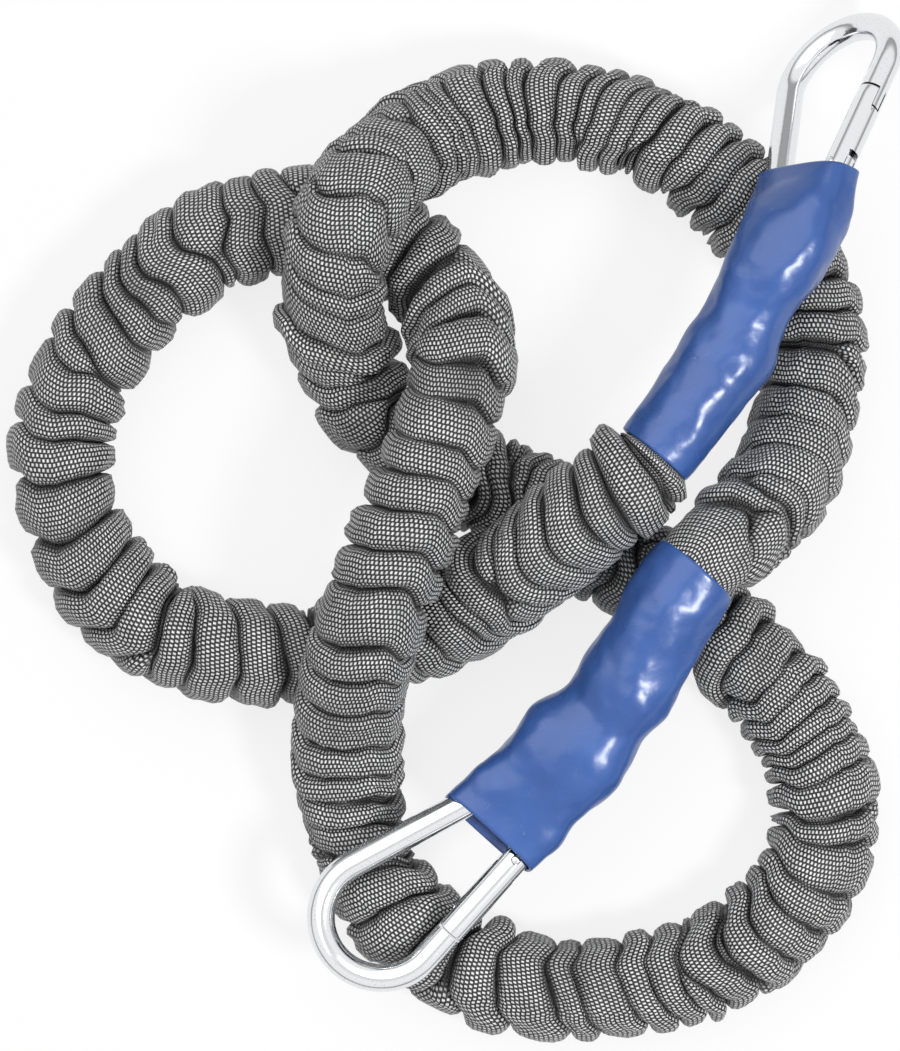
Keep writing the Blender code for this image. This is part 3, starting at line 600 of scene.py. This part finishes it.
def makeWebbingMaterial():
    # Woven polyester tube, gathered: thick bright yarn in staggered stitches, each a small pill
    # with a dark gap round it, in rows that run round the cord along the pleats. Both pitches are
    # the real ones. The colour holds painted light: a painted highlight at each stitch's centre,
    # painted shade in its gap, and painted shade deep in the creases.
    made, tree = newMaterial("gatheredPolyesterWebbing")
    place = addNode(tree, "UVMap", {"uv_map": "weave"})

    def stray(scale, reach, detail):
        # shifts the weave by up to half of this many mm, over about 1/scale mm
        wave = addNode(tree, "TexNoise", {"Scale": scale, "Detail": detail}, {"Vector": place})
        middle = {"operation": "SUBTRACT", 1: (0.5, 0.5, 0.5)}
        shift = addNode(tree, "VectorMath", middle, {0: wave.outputs["Color"]})
        return addNode(tree, "VectorMath", {"operation": "MULTIPLY", 1: (*reach, 0.0)}, {0: shift})

    moved = place
    for shift in (stray(0.05, (1.2, 1.0), 1.0), stray(0.7, (0.16, 0.13), 2.0)):
        moved = addNode(tree, "VectorMath", {"operation": "ADD"}, {0: moved, 1: shift})
    pitch = (coverLook["threadPitchMm"], coverLook["rowPitchMm"], 1.0)
    counted = addNode(tree, "VectorMath", {"operation": "DIVIDE", 1: pitch}, {0: moved})
    counted = addNode(tree, "SeparateXYZ", None, {0: counted})
    along, across = counted.outputs["X"], counted.outputs["Y"]
    # each row is set off from the last by this share of a stitch
    row = addNode(tree, "Math", {"operation": "FLOOR"}, {0: across})
    stagger = {"operation": "MULTIPLY_ADD", 1: 0.42}
    thread = addNode(tree, "Math", stagger, {0: row, 2: along})
    pill = []
    for count, soft in ((thread, 0.36), (across, 0.27)):
        edge = addNode(tree, "Math", {"operation": "PINGPONG", 1: 0.5}, {0: count})
        span = {"interpolation_type": "SMOOTHSTEP", "From Min": 0.02, "From Max": soft}
        pill.append(addNode(tree, "MapRange", span, {"Value": edge}))
    pill = addNode(tree, "Math", {"operation": "MULTIPLY"}, {0: pill[0], 1: pill[1]})
    # painted highlight and painted shade: a stitch's colour runs from near black in its gap, shade
    # painted between the yarns, to pale grey at its centre, a highlight painted on its top
    tone = addNode(tree, "ValToRGB", None, {"Fac": pill})
    setRamp(tone, ((0.0, "#020202"), (0.32, "#121212"), (0.64, "#808080"), (1.0, "#d8d8d8")))
    # no two stitches are quite as bright, and the cloth is worn in patches of about 7 mm
    column = addNode(tree, "Math", {"operation": "FLOOR"}, {0: thread})
    cell = addNode(tree, "CombineXYZ", None, {0: column, 1: row})
    each = addNode(tree, "TexWhiteNoise", {"noise_dimensions": "2D"}, {"Vector": cell})
    worn = addNode(tree, "TexNoise", {"Scale": 0.14, "Detail": 3.0}, {"Vector": place})
    worn = addNode(tree, "Math", {"operation": "MULTIPLY_ADD", 1: 0.30}, {0: each, 2: worn})
    span = {"From Min": 0.3, "From Max": 1.0, "To Min": 0.72, "To Max": 1.20}
    worn = addNode(tree, "MapRange", span, {"Value": worn})
    # painted shade: deep in a crease the cloth's colour is darkened, standing in for the shade that falls
    # there
    depth = addNode(tree, "UVMap", {"uv_map": "depth"})
    depth = addNode(tree, "SeparateXYZ", None, {0: depth})
    span = {"From Min": 0.08, "From Max": 0.70, "To Min": 1.0, "To Max": 0.12}
    span["interpolation_type"] = "SMOOTHSTEP"
    shade = addNode(tree, "MapRange", span, {"Value": depth})
    shade = addNode(tree, "Math", {"operation": "MULTIPLY"}, {0: shade, 1: worn})
    colour = addNode(tree, "VectorMath", {"operation": "SCALE"}, {0: tone, "Scale": shade})
    hair = addNode(tree, "TexNoise", {"Scale": 5.0, "Detail": 2.0}, {"Vector": place})
    rise = addNode(tree, "Math", {"operation": "MULTIPLY_ADD", 1: 0.25}, {0: hair, 2: pill})
    bump = addNode(tree, "Bump", {"Strength": 0.85, "Distance": 0.00035}, {"Height": rise})
    values = {"Roughness": 0.42, "Sheen Weight": 0.15, "Sheen Roughness": 0.4}
    cloth = addNode(tree, "BsdfPrincipled", values, {"Base Color": colour, "Normal": bump})
    addNode(tree, "OutputMaterial", None, {"Surface": cloth})
    return made


sleeveLook = {
    "wall": 0.001,
    "rings": 150,
    "sides": 96,
    "squareMouth": 3.2,  # 2 is an ellipse, and more is squarer
    "lip": 0.0003,
    "bareMouth": 0.012,  # length from a mouth to full lumps
    "cutLength": 0.022,  # length over which the rings lean to the mouth's cut
    "ripples": ((0.0007, 0.009), (0.00022, 0.004)),  # size and grain
    "a": {
        "mouthHeading": 81.0,
        "upright": 0.45,  # 1 cuts the mouth straight down, 0 square to the sleeve
        "mouthLean": 0.08,
        # share of the length, half width, half height, roll
        "sections": (
            (0.00, 0.0164, 0.0076, 50.0), (0.07, 0.0160, 0.0084, 50.0), (0.14, 0.0148, 0.0108, 42.0),
            (0.21, 0.0132, 0.0116, 30.0), (0.29, 0.0127, 0.0121, 14.0), (0.42, 0.0121, 0.0120, 0.0),
            (0.52, 0.0121, 0.0121, 0.0), (0.62, 0.0130, 0.0123, 0.0), (0.72, 0.0124, 0.0122, 0.0),
            (0.80, 0.0123, 0.0120, 0.0), (0.90, 0.0118, 0.0117, 0.0), (1.00, 0.0114, 0.0114, 0.0),
        ),
        # share of the length, side in degrees, height, length and breadth of each lump
        "lumps": (
            (0.22, 20, 0.0012, 0.007, 40), (0.36, 150, 0.0010, 0.006, 45), (0.47, 60, -0.0011, 0.006, 60),
            (0.60, 35, 0.0014, 0.006, 40), (0.66, 130, 0.0009, 0.007, 35), (0.78, 70, 0.0008, 0.008, 30),
            (0.86, 20, 0.0009, 0.006, 40), (0.30, 80, 0.0006, 0.010, 25),
        ),
    },
    "b": {
        "mouthHeading": 228.0,
        "upright": 1.0,
        "mouthLean": 0.25,
        "sections": (
            (0.00, 0.0162, 0.0072, 0.0), (0.06, 0.0165, 0.0080, 0.0), (0.134, 0.0160, 0.0092, 0.0),
            (0.208, 0.0149, 0.0106, 0.0), (0.30, 0.0155, 0.0118, 0.0), (0.369, 0.0163, 0.0122, 0.0),
            (0.452, 0.0145, 0.0122, 0.0), (0.512, 0.0133, 0.0122, 0.0), (0.58, 0.0147, 0.0125, 0.0),
            (0.72, 0.0138, 0.0126, 0.0), (0.80, 0.0137, 0.0126, 0.0), (0.93, 0.0136, 0.0128, 0.0),
            (1.00, 0.0128, 0.0128, 0.0),
        ),
        "lumps": (
            (0.36, 25, 0.0013, 0.006, 35), (0.36, 150, 0.0008, 0.008, 35), (0.47, 60, -0.0014, 0.005, 45),
            (0.58, 115, 0.0012, 0.006, 35), (0.70, 55, 0.0010, 0.007, 28), (0.83, 60, 0.0011, 0.006, 26),
            (0.20, 110, -0.0010, 0.007, 40), (0.27, 60, 0.0010, 0.006, 35), (0.12, 40, 0.0008, 0.006, 40),
        ),
    },
}


def sleeveRows(route, end, inset=0.0):
    # rings of the sleeve's skin, from its mouth to the cord, drawn in by inset
    look = sleeveLook[end]
    length = cordLook["sleeveLength"][end]
    shares = np.linspace(0, 1, sleeveLook["rings"])
    table = np.array(look["sections"])
    width, height, roll = [
        smoothed(np.interp(shares, table[:, 0], table[:, k]), 4) for k in (1, 2, 3)
    ]
    distance = shares * length
    centre = route.place(route.fromMouth(end, distance))
    inward = route.heading(route.fromMouth(end, distance), 0.002) * (1 if end == "b" else -1)
    heading = math.radians(look["mouthHeading"])
    fade = np.maximum(0.0, 1 - distance / (0.3 * length))[:, None]
    level = np.hypot(inward[:, 0], inward[:, 1])
    mouth = np.stack([-math.cos(heading) * level, -math.sin(heading) * level, inward[:, 2]], axis=1)
    inward = inward * (1 - fade) + mouth * fade
    inward /= np.linalg.norm(inward, axis=1, keepdims=True)
    across, up = acrossAndUp(inward)
    c, s = np.cos(np.radians(roll))[:, None], np.sin(np.radians(roll))[:, None]
    across, up = across * c + up * s, up * c - across * s
    turn = np.arange(sleeveLook["sides"]) * 2 * math.pi / sleeveLook["sides"]
    square = 2 + (sleeveLook["squareMouth"] - 2) * (1 - np.minimum(1.0, 2 * shares))[:, None]
    x = np.sign(np.cos(turn)) * np.abs(np.cos(turn)) ** (2 / square)
    y = np.sign(np.sin(turn)) * np.abs(np.sin(turn)) ** (2 / square)
    grow = np.zeros((len(shares), len(turn)))
    for share, side, rise, span, breadth in look["lumps"]:
        along = np.exp(-0.5 * ((distance - share * length) / span) ** 2)[:, None]
        away = np.abs((np.degrees(turn) - side + 180) % 360 - 180)
        grow += rise * along * np.exp(-0.5 * (away / breadth) ** 2)
    grow *= smoothStep(distance / sleeveLook["bareMouth"])[:, None]
    x = x * (width[:, None] - inset) + np.cos(turn) * grow
    y = y * (height[:, None] - inset) + np.sin(turn) * grow
    rows = centre[:, None] + across[:, None] * x[:, :, None] + up[:, None] * y[:, :, None]
    # slide the rings near the mouth along the sleeve, so that it is cut more upright
    level = np.maximum(np.hypot(inward[:, 0], inward[:, 1]), 0.2)
    slope = inward[:, 2] / level**2 * look["upright"] + look["mouthLean"]
    rise = rows[:, :, 2] - centre[:, None, 2]
    back = rise * (slope * smoothStep(1 - distance / sleeveLook["cutLength"]))[:, None]
    return rows + inward[:, None] * back[:, :, None], inward


def makeSleeve(route, end, material):
    outer, inward = sleeveRows(route, end)
    inner, _ = sleeveRows(route, end, sleeveLook["wall"])
    ripple = sum(lumpy(outer, size, grain) for size, grain in sleeveLook["ripples"])
    away = outer - outer.mean(axis=1, keepdims=True)
    away /= np.linalg.norm(away, axis=2, keepdims=True)
    calm = smoothStep(np.linspace(0, 1, len(outer)) / 0.08)[:, None, None]
    outer = outer + away * ripple[:, :, None] * calm
    lip = sleeveLook["lip"]
    first = outer[:1] * 0.65 + inner[:1] * 0.35 - inward[0] * lip
    second = outer[:1] * 0.35 + inner[:1] * 0.65 - inward[0] * lip
    third = outer[-1:] * 0.65 + inner[-1:] * 0.35 + inward[-1] * lip
    fourth = outer[-1:] * 0.35 + inner[-1:] * 0.65 + inward[-1] * lip
    rows = np.concatenate([second, first, outer, third, fourth, inner[::-1], second])
    mesh = meshFromRows("shrunkSleeve", rows[:-1], flip=(end == "b"))
    joinEnds(mesh, len(rows) - 1, rows.shape[1], end == "b")
    newPiece("shrunkSleeve_" + end, mesh, material, "root", "shrink_sleeve_" + end)


def joinEnds(mesh, count, sides, flip):
    # the last ring of a sleeve meets its first
    shape = bmesh.new()
    shape.from_mesh(mesh)
    shape.verts.ensure_lookup_table()
    last = (count - 1) * sides
    for i in range(sides):
        j = (i + 1) % sides
        corners = [shape.verts[k] for k in (last + i, last + j, j, i)]
        face = shape.faces.new(corners[::-1] if flip else corners)
        face.smooth = True
    bmesh.ops.recalc_face_normals(shape, faces=shape.faces)
    shape.to_mesh(mesh)
    shape.free()


def makeSleeveMaterial():
    # Polyolefin heat-shrink tube, shrunk with hot air: smooth satin blue with a faint orange peel,
    # a few pale rubbed streaks, and broad soft highlights.
    made, tree = newMaterial("shrunkPolyolefin")
    place = {"Vector": addNode(tree, "TexCoord").outputs["Object"]}
    cloud = addNode(tree, "TexNoise", {"Scale": 45.0, "Detail": 3.0}, place)
    tint = addNode(tree, "ValToRGB", None, {"Fac": cloud})
    setRamp(tint, ((0.30, "#2f5190"), (0.55, "#34589b"), (0.75, "#3e62a4")))
    streaks = {"Scale": 260.0, "Detail": 6.0, "Roughness": 0.7, "Distortion": 1.5}
    rub = addNode(tree, "TexNoise", streaks, place)
    rub = addNode(tree, "MapRange", {"From Min": 0.66, "From Max": 0.80}, {"Value": rub})
    pale = {"data_type": "RGBA", "B": linearColour("#7f93b8")}
    colour = addNode(tree, "Mix", pale, {"Factor": rub, "A": tint}).outputs["Result"]
    gloss = addNode(tree, "MapRange", {"To Min": 0.22, "To Max": 0.34}, {"Value": cloud})
    peel = addNode(tree, "TexNoise", {"Scale": 900.0, "Detail": 2.0}, place)
    ripple = addNode(tree, "TexNoise", {"Scale": 160.0, "Detail": 2.0}, place)
    rise = addNode(tree, "Math", {"operation": "MULTIPLY_ADD", 1: 0.12}, {0: peel, 2: ripple})
    bump = addNode(tree, "Bump", {"Strength": 0.5, "Distance": 0.0004}, {"Height": rise})
    links = {"Base Color": colour, "Roughness": gloss, "Normal": bump}
    skin = addNode(tree, "BsdfPrincipled", {"IOR": 1.5}, links)
    addNode(tree, "OutputMaterial", None, {"Surface": skin})
    return made


hookLook = {
    "wire": 0.004,  # radius, as for gate, latch and rivet
    "bow": 0.0173,  # centreline radii of the wide and the narrow end, and between their centres
    "neck": 0.0095,
    "centres": 0.0455,
    "pivotAlong": 0.0405,  # the rivet's place along the axis from the bow's centre
    "noseFromPivot": 0.0287,
    "sides": 32,
    "gate": 0.0042,
    "gateGap": 0.0005,
    "tang": 0.0032,  # thickness of the flat that the gate turns on
    "tangLength": 0.0036,
    "tongue": 0.0026,  # and of the one that holds the latch pin
    "tongueLength": 0.0065,
    "slotSide": 0.0003,
    "slotEnd": 0.0007,
    "latchFromPivot": 0.025,
    "latch": 0.001,
    "notchRelief": 0.0004,
    "rivet": 0.0013,
    "rivetProud": 0.0004,
    "latchShort": 0.0006,  # ground flush and polished over, so the pin shows only in the slot
    "edge": 0.0006,  # radius round the gate's tip
    "bevel": 0.00012,
}


sideways = Matrix.Rotation(math.pi / 2, 4, "Y")  # lays a bar across the hook


def legLean():
    # angle between the hook's axis and its legs, which touch both end arcs
    return math.asin((hookLook["bow"] - hookLook["neck"]) / hookLook["centres"])


def gateFrame(end):
    # the gate's frame in the world: origin on the rivet, +Z to the nose, +X the hook's normal
    hinge, slide = joints[f"gate_{end}_hinge"], joints[f"plunger_{end}_slide"]
    normal, toNose = Vector(hinge["axis"]).normalized(), Vector(slide["axis"]).normalized()
    turned = Matrix((normal, toNose.cross(normal), toNose)).transposed().to_4x4()
    return Matrix.Translation(hinge["pos_m"]) @ turned


def gateInHook():
    # the same frame in the hook's own, which has its origin in the bow's centre and +X to the neck
    look = hookLook
    lean = legLean()
    toNose = Vector((-math.cos(lean), math.sin(lean), 0.0))
    normal = Vector((0.0, 0.0, 1.0))
    turned = Matrix((normal, toNose.cross(normal), toNose)).transposed().to_4x4()
    side = (look["bow"] - look["pivotAlong"] * math.sin(lean)) / math.cos(lean)
    return Matrix.Translation((look["pivotAlong"], side, 0.0)) @ turned


def hookLine():
    # centreline in the hook's frame, from the tongue's tip round the bow and the neck to the tang
    look = hookLook
    lean = legLean()
    square = math.pi / 2

    def arc(x, radius, start, stop, steps):
        turns = np.linspace(start, stop, steps)
        return [(x + radius * math.cos(t), radius * math.sin(t), 0.0) for t in turns]

    inHook = gateInHook()
    tip = inHook @ Vector((0.0, 0.0, look["noseFromPivot"] - look["tongueLength"]))
    tail = inHook @ Vector((0.0, 0.0, look["tangLength"]))
    bow = arc(0.0, look["bow"], square - lean, 3 * square + lean, 56)
    neck = arc(look["centres"], look["neck"], lean - square, square - lean, 30)
    line = np.array([tuple(tip), *bow, *neck, tuple(tail)])
    steps = np.linalg.norm(np.diff(line, axis=0), axis=1)
    at = np.concatenate([[0.0], np.cumsum(steps)])
    places = np.union1d(at, np.arange(0.001, at[-1], 0.0022))
    return np.stack([np.interp(places, at, axis) for axis in line.T], axis=1), places


def wireRows(line, radius, sides):
    # rings round a flat line in the hook's plane
    heading = np.gradient(line, axis=0)
    heading /= np.linalg.norm(heading, axis=1, keepdims=True)
    up = np.array((0.0, 0.0, 1.0))
    across = np.cross(up, heading)
    turn = np.arange(sides) * 2 * math.pi / sides
    return line[:, None] + radius * (
        across[:, None] * np.cos(turn)[None, :, None] + up * np.sin(turn)[None, :, None]
    )


def cutterFrom(shape, place):
    bmesh.ops.transform(shape, matrix=place, verts=shape.verts)
    mesh = bpy.data.meshes.new("cutter")
    shape.to_mesh(mesh)
    shape.free()
    return mesh


def boxMesh(low, high, place):
    shape = bmesh.new()
    bmesh.ops.create_cube(shape, size=1.0)
    low, high = Vector(low), Vector(high)
    for vert in shape.verts:
        vert.co = [low[i] + (vert.co[i] + 0.5) * (high[i] - low[i]) for i in range(3)]
    return cutterFrom(shape, place)


def barMesh(radius, length, place):
    shape = bmesh.new()
    size = {"radius1": radius, "radius2": radius, "depth": length}
    bmesh.ops.create_cone(shape, cap_ends=True, segments=hookLook["sides"], **size)
    return cutterFrom(shape, place)


def cutAway(mesh, cutters):
    # the mesh less each cutter, as a new mesh
    holder = bpy.data.objects.new("holder", mesh)
    scene.collection.objects.link(holder)
    tools = []
    for cutter in cutters:
        tool = bpy.data.objects.new("tool", cutter)
        scene.collection.objects.link(tool)
        tools.append(tool)
        boolean = holder.modifiers.new("cut", "BOOLEAN")
        boolean.operation = "DIFFERENCE"
        boolean.solver = "EXACT"
        boolean.object = tool
    bevel = holder.modifiers.new("edges", "BEVEL")
    bevel.limit_method = "ANGLE"
    bevel.angle_limit = math.radians(50)
    bevel.width = hookLook["bevel"]
    bevel.segments = 2
    graph = bpy.context.evaluated_depsgraph_get()
    made = bpy.data.meshes.new_from_object(holder.evaluated_get(graph))
    for tool in [holder, *tools]:
        bpy.data.objects.remove(tool)
    # the bevel leaves slivers where cuts meet
    shape = bmesh.new()
    shape.from_mesh(made)
    bmesh.ops.remove_doubles(shape, verts=shape.verts, dist=0.00001)
    bmesh.ops.dissolve_degenerate(shape, edges=shape.edges, dist=0.000005)
    shape.to_mesh(made)
    shape.free()
    made.shade_smooth()
    made.set_sharp_from_angle(angle=math.radians(40))
    return made


def turnedMesh(name, profile, steps, place):
    # a profile of (radius, height) points turned about Z
    turn = np.arange(steps) * 2 * math.pi / steps
    profile = np.array(profile)
    rows = np.stack(
        [
            profile[:, :1] * np.cos(turn),
            profile[:, :1] * np.sin(turn),
            profile[:, 1:] * np.ones(steps),
        ],
        axis=-1,
    )
    mesh = meshFromRows(name, rows, closeEnds=True)
    mesh.transform(place)
    faceOut(mesh)
    return mesh


def makeWire(end, hook, material):
    # the bent wire with its tang, tongue, notch and rivet hole
    look = hookLook
    inHook = gateInHook()
    line, places = hookLine()
    rows = wireRows(line, look["wire"], look["sides"])
    around = np.arange(look["sides"] + 1) / look["sides"] * 2 * math.pi * look["wire"] / mm
    drawn = np.stack(np.broadcast_arrays(around[None], places[:, None] / mm), axis=-1)
    wire = meshFromRows("bentWire", rows, {"drawn": drawn}, closeEnds=True)
    faceOut(wire)
    wide = look["wire"] + mm
    tail = -(look["gate"] + look["slotSide"])
    past = look["tangLength"] + mm
    tongueLow = look["noseFromPivot"] - look["tongueLength"] - mm
    cutters = []
    for way in (1, -1):
        near, far = sorted((way * look["tang"] / 2, way * wide))
        cutters.append(boxMesh((near, -wide, tail), (far, wide, past), inHook))
        near, far = sorted((way * look["tongue"] / 2, way * wide))
        cutters.append(boxMesh((near, -wide, tongueLow), (far, wide, look["noseFromPivot"]), inHook))
    notch = look["latch"] + fit
    low = look["latchFromPivot"] - notch - look["notchRelief"]
    cutters.append(boxMesh((-wide, -wide, low), (wide, 0.0, look["latchFromPivot"] + notch), inHook))
    seat = inHook @ Matrix.Translation((0, 0, look["latchFromPivot"])) @ sideways
    cutters.append(barMesh(notch, 4 * wide, seat))
    cutters.append(barMesh(look["rivet"] + fit, 4 * wide, inHook @ sideways))
    wire = cutAway(wire, cutters)
    wire.transform(hook)
    newPiece("bentWire_" + end, wire, material, "root", "hook_frame_" + end)


def makeBarrel(end, gate, material):
    # the gate: a round bar, rounded at the rivet, with a slot for the tang and one for the tongue
    look = hookLook
    tip = look["noseFromPivot"] - look["gateGap"]
    quarter = [math.pi / 2 * i / 12 for i in range(13)]
    edge = look["edge"]
    shoulder = look["gate"] - edge
    axis = 0.0002
    profile = [(axis, tip), (shoulder, tip)]
    profile += [
        (shoulder + edge * math.sin(t), tip - edge + edge * math.cos(t)) for t in quarter[3::3]
    ]
    profile += [(look["gate"], z) for z in np.linspace(tip - 0.003, 0.001, 10)]
    profile += [(look["gate"] * math.cos(t), -look["gate"] * math.sin(t)) for t in quarter[:-1]]
    profile += [(axis, -look["gate"])]
    barrel = turnedMesh("gateBarrel", profile, 48, Matrix.Identity(4))
    wide = look["gate"] + mm
    boreStart = math.hypot(look["tangLength"], look["wire"]) + fit
    half = look["tang"] / 2 + look["slotSide"]
    cutters = [boxMesh((-half, -wide, -wide), (half, wide, boreStart), Matrix.Identity(4))]
    half = look["tongue"] / 2 + look["slotSide"]
    low = look["noseFromPivot"] - look["tongueLength"] - look["slotEnd"]
    cutters.append(boxMesh((-half, -wide, low), (half, wide, tip + mm), Matrix.Identity(4)))
    cutters.append(barMesh(look["rivet"] + fit / 3, 4 * wide, sideways))
    barrel = cutAway(barrel, cutters)
    barrel.transform(gate)
    newPiece("gateBarrel_" + end, barrel, material, "gate_" + end, "gate_" + end)


def makePin(name, radius, proud, seat, material, body, node):
    # a pin across the gate, with domed ends
    half = hookLook["gate"] + proud
    dome = [(0.0001, half), (0.45 * radius, half - 0.00004), (0.8 * radius, half - 0.00014)]
    dome += [(radius, half - 0.0004)]
    profile = dome + [(r, -h) for r, h in reversed(dome)]
    newPiece(name, turnedMesh(name, profile, 28, seat @ sideways), material, body, node)


def makeHook(end, wireSteel, pinSteel):
    look = hookLook
    gate = gateFrame(end)
    makeWire(end, gate @ gateInHook().inverted(), wireSteel)
    makeBarrel(end, gate, wireSteel)
    proud = look["rivetProud"]
    makePin("rivetPin_" + end, look["rivet"], proud, gate, pinSteel, "root", "gate_rivet_" + end)
    seat = gate @ Matrix.Translation((0, 0, look["latchFromPivot"]))
    short = -look["latchShort"]
    makePin("latchPin_" + end, look["latch"], short, seat, pinSteel, "gate_" + end, "latch_pin_" + end)


def makeSteelMaterial(name, roughness, colour, drawn):
    # Drawn steel wire, bent cold and zinc-nickel plated bright: mirror-like with faint lines along
    # the wire from the drawing die and small dull specks in the plating.
    made, tree = newMaterial(name)
    if drawn:
        place = addNode(tree, "UVMap", {"uv_map": "drawn"})
        stretch = (2.5, 0.10, 1.0)  # lines 0.4 mm apart and about 10 mm long
    else:
        place = addNode(tree, "TexCoord").outputs["Object"]
        stretch = (900.0, 900.0, 900.0)
    lines = addNode(tree, "VectorMath", {"operation": "MULTIPLY", 1: stretch}, {0: place})
    lines = addNode(tree, "TexNoise", {"Scale": 1.0, "Detail": 4.0}, {"Vector": lines})
    dull = {"Scale": 1.6 if drawn else 1400.0, "Detail": 3.0, "Roughness": 0.7}
    speck = addNode(tree, "TexNoise", dull, {"Vector": place})
    speck = addNode(tree, "MapRange", {"From Min": 0.58, "From Max": 0.72}, {"Value": speck})
    rough = addNode(tree, "Math", {"operation": "MULTIPLY_ADD", 1: 0.16, 2: roughness}, {0: speck})
    tints = {"data_type": "RGBA", "A": linearColour(colour), "B": linearColour("#b9bcc0")}
    tint = addNode(tree, "Mix", tints, {"Factor": speck}).outputs["Result"]
    bump = addNode(tree, "Bump", {"Strength": 0.25, "Distance": 0.00005}, {"Height": lines})
    links = {"Base Color": tint, "Roughness": rough, "Normal": bump}
    metal = addNode(tree, "BsdfPrincipled", {"Metallic": 1.0}, links)
    addNode(tree, "OutputMaterial", None, {"Surface": metal})
    return made


def makePlainMaterial(name, low, high, roughness, metallic, grainMm, relief):
    # a mottled solid whose two tones and relief repeat at about this grain
    made, tree = newMaterial(name)
    place = {"Vector": addNode(tree, "TexCoord").outputs["Object"]}
    grain = addNode(tree, "TexNoise", {"Scale": 1 / (grainMm * mm), "Detail": 3.0}, place)
    tone = addNode(tree, "ValToRGB", None, {"Fac": grain})
    setRamp(tone, ((0.3, low), (0.7, high)))
    bump = addNode(tree, "Bump", {"Strength": 0.5, "Distance": relief}, {"Height": grain})
    values = {"Roughness": roughness, "Metallic": metallic}
    solid = addNode(tree, "BsdfPrincipled", values, {"Base Color": tone, "Normal": bump})
    addNode(tree, "OutputMaterial", None, {"Surface": solid})
    return made


def makeSpring(end, material):
    # the gate's spring, between the end of its bore and the plunger, which shortens it
    mesh = frame["nodes"]["gate_spring_" + end].data.copy()
    mesh.materials.clear()
    mesh.materials.append(material)
    spring = bpy.data.objects.new("pressedSpring_" + end, mesh)
    scene.collection.objects.link(spring)
    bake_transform(spring)
    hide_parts("gate_spring_" + end)


def finishInside():
    # pieces inside, which keep their CAD shapes
    looks = {
        # turned and pressed steel, left bare
        "spring_plunger": ("turnedSteel", "#74767a", "#9a9ca0", 0.35, 1.0, 0.4, 0.00002),
        "core_clamp": ("pressedSteel", "#7d7f83", "#a3a5a9", 0.4, 1.0, 1.0, 0.00004),
        # natural rubber strands in a thin jacket, dull black
        "elastic_core": ("jacketedRubber", "#161617", "#262628", 0.8, 0.0, 0.8, 0.0003),
        "bar_tack": ("bondedNylonThread", "#1a1a1c", "#333336", 0.6, 0.0, 0.3, 0.0001),
        # the same webbing as the cover, seen only through the mouths
        "webbing_eye": ("foldedWebbing", "#3a3a3c", "#8c8c8f", 0.7, 0.0, 1.3, 0.0004),
    }
    for start, values in looks.items():
        made = makePlainMaterial(*values)
        for node, piece in frame["nodes"].items():
            if node.startswith(start):
                piece.data.materials.clear()
                piece.data.materials.append(made)


makeCamera()
makeFloor()
makeLights()
print("camera, floor and light are in place")
route = Route()
print(f"route is {route.length:.3f} m")
makeCover(route, makeWebbingMaterial())
print("cover is pleated")
sleeveMaterial = makeSleeveMaterial()
wireSteel = makeSteelMaterial("brightPlatedWire", 0.10, "#e6e8ea", True)
pinSteel = makeSteelMaterial("brightPlatedPin", 0.16, "#dcdee0", False)
for end in "ab":
    makeSleeve(route, end, sleeveMaterial)
    makeHook(end, wireSteel, pinSteel)
    print(f"sleeve and hook {end} are made")
springSteel = makePlainMaterial("drawnSpringSteel", "#6a6c70", "#8c8f94", 0.3, 1.0, 0.3, 0.00002)
for end in "ab":
    makeSpring(end, springSteel)
finishInside()
print("the pieces inside are finished")
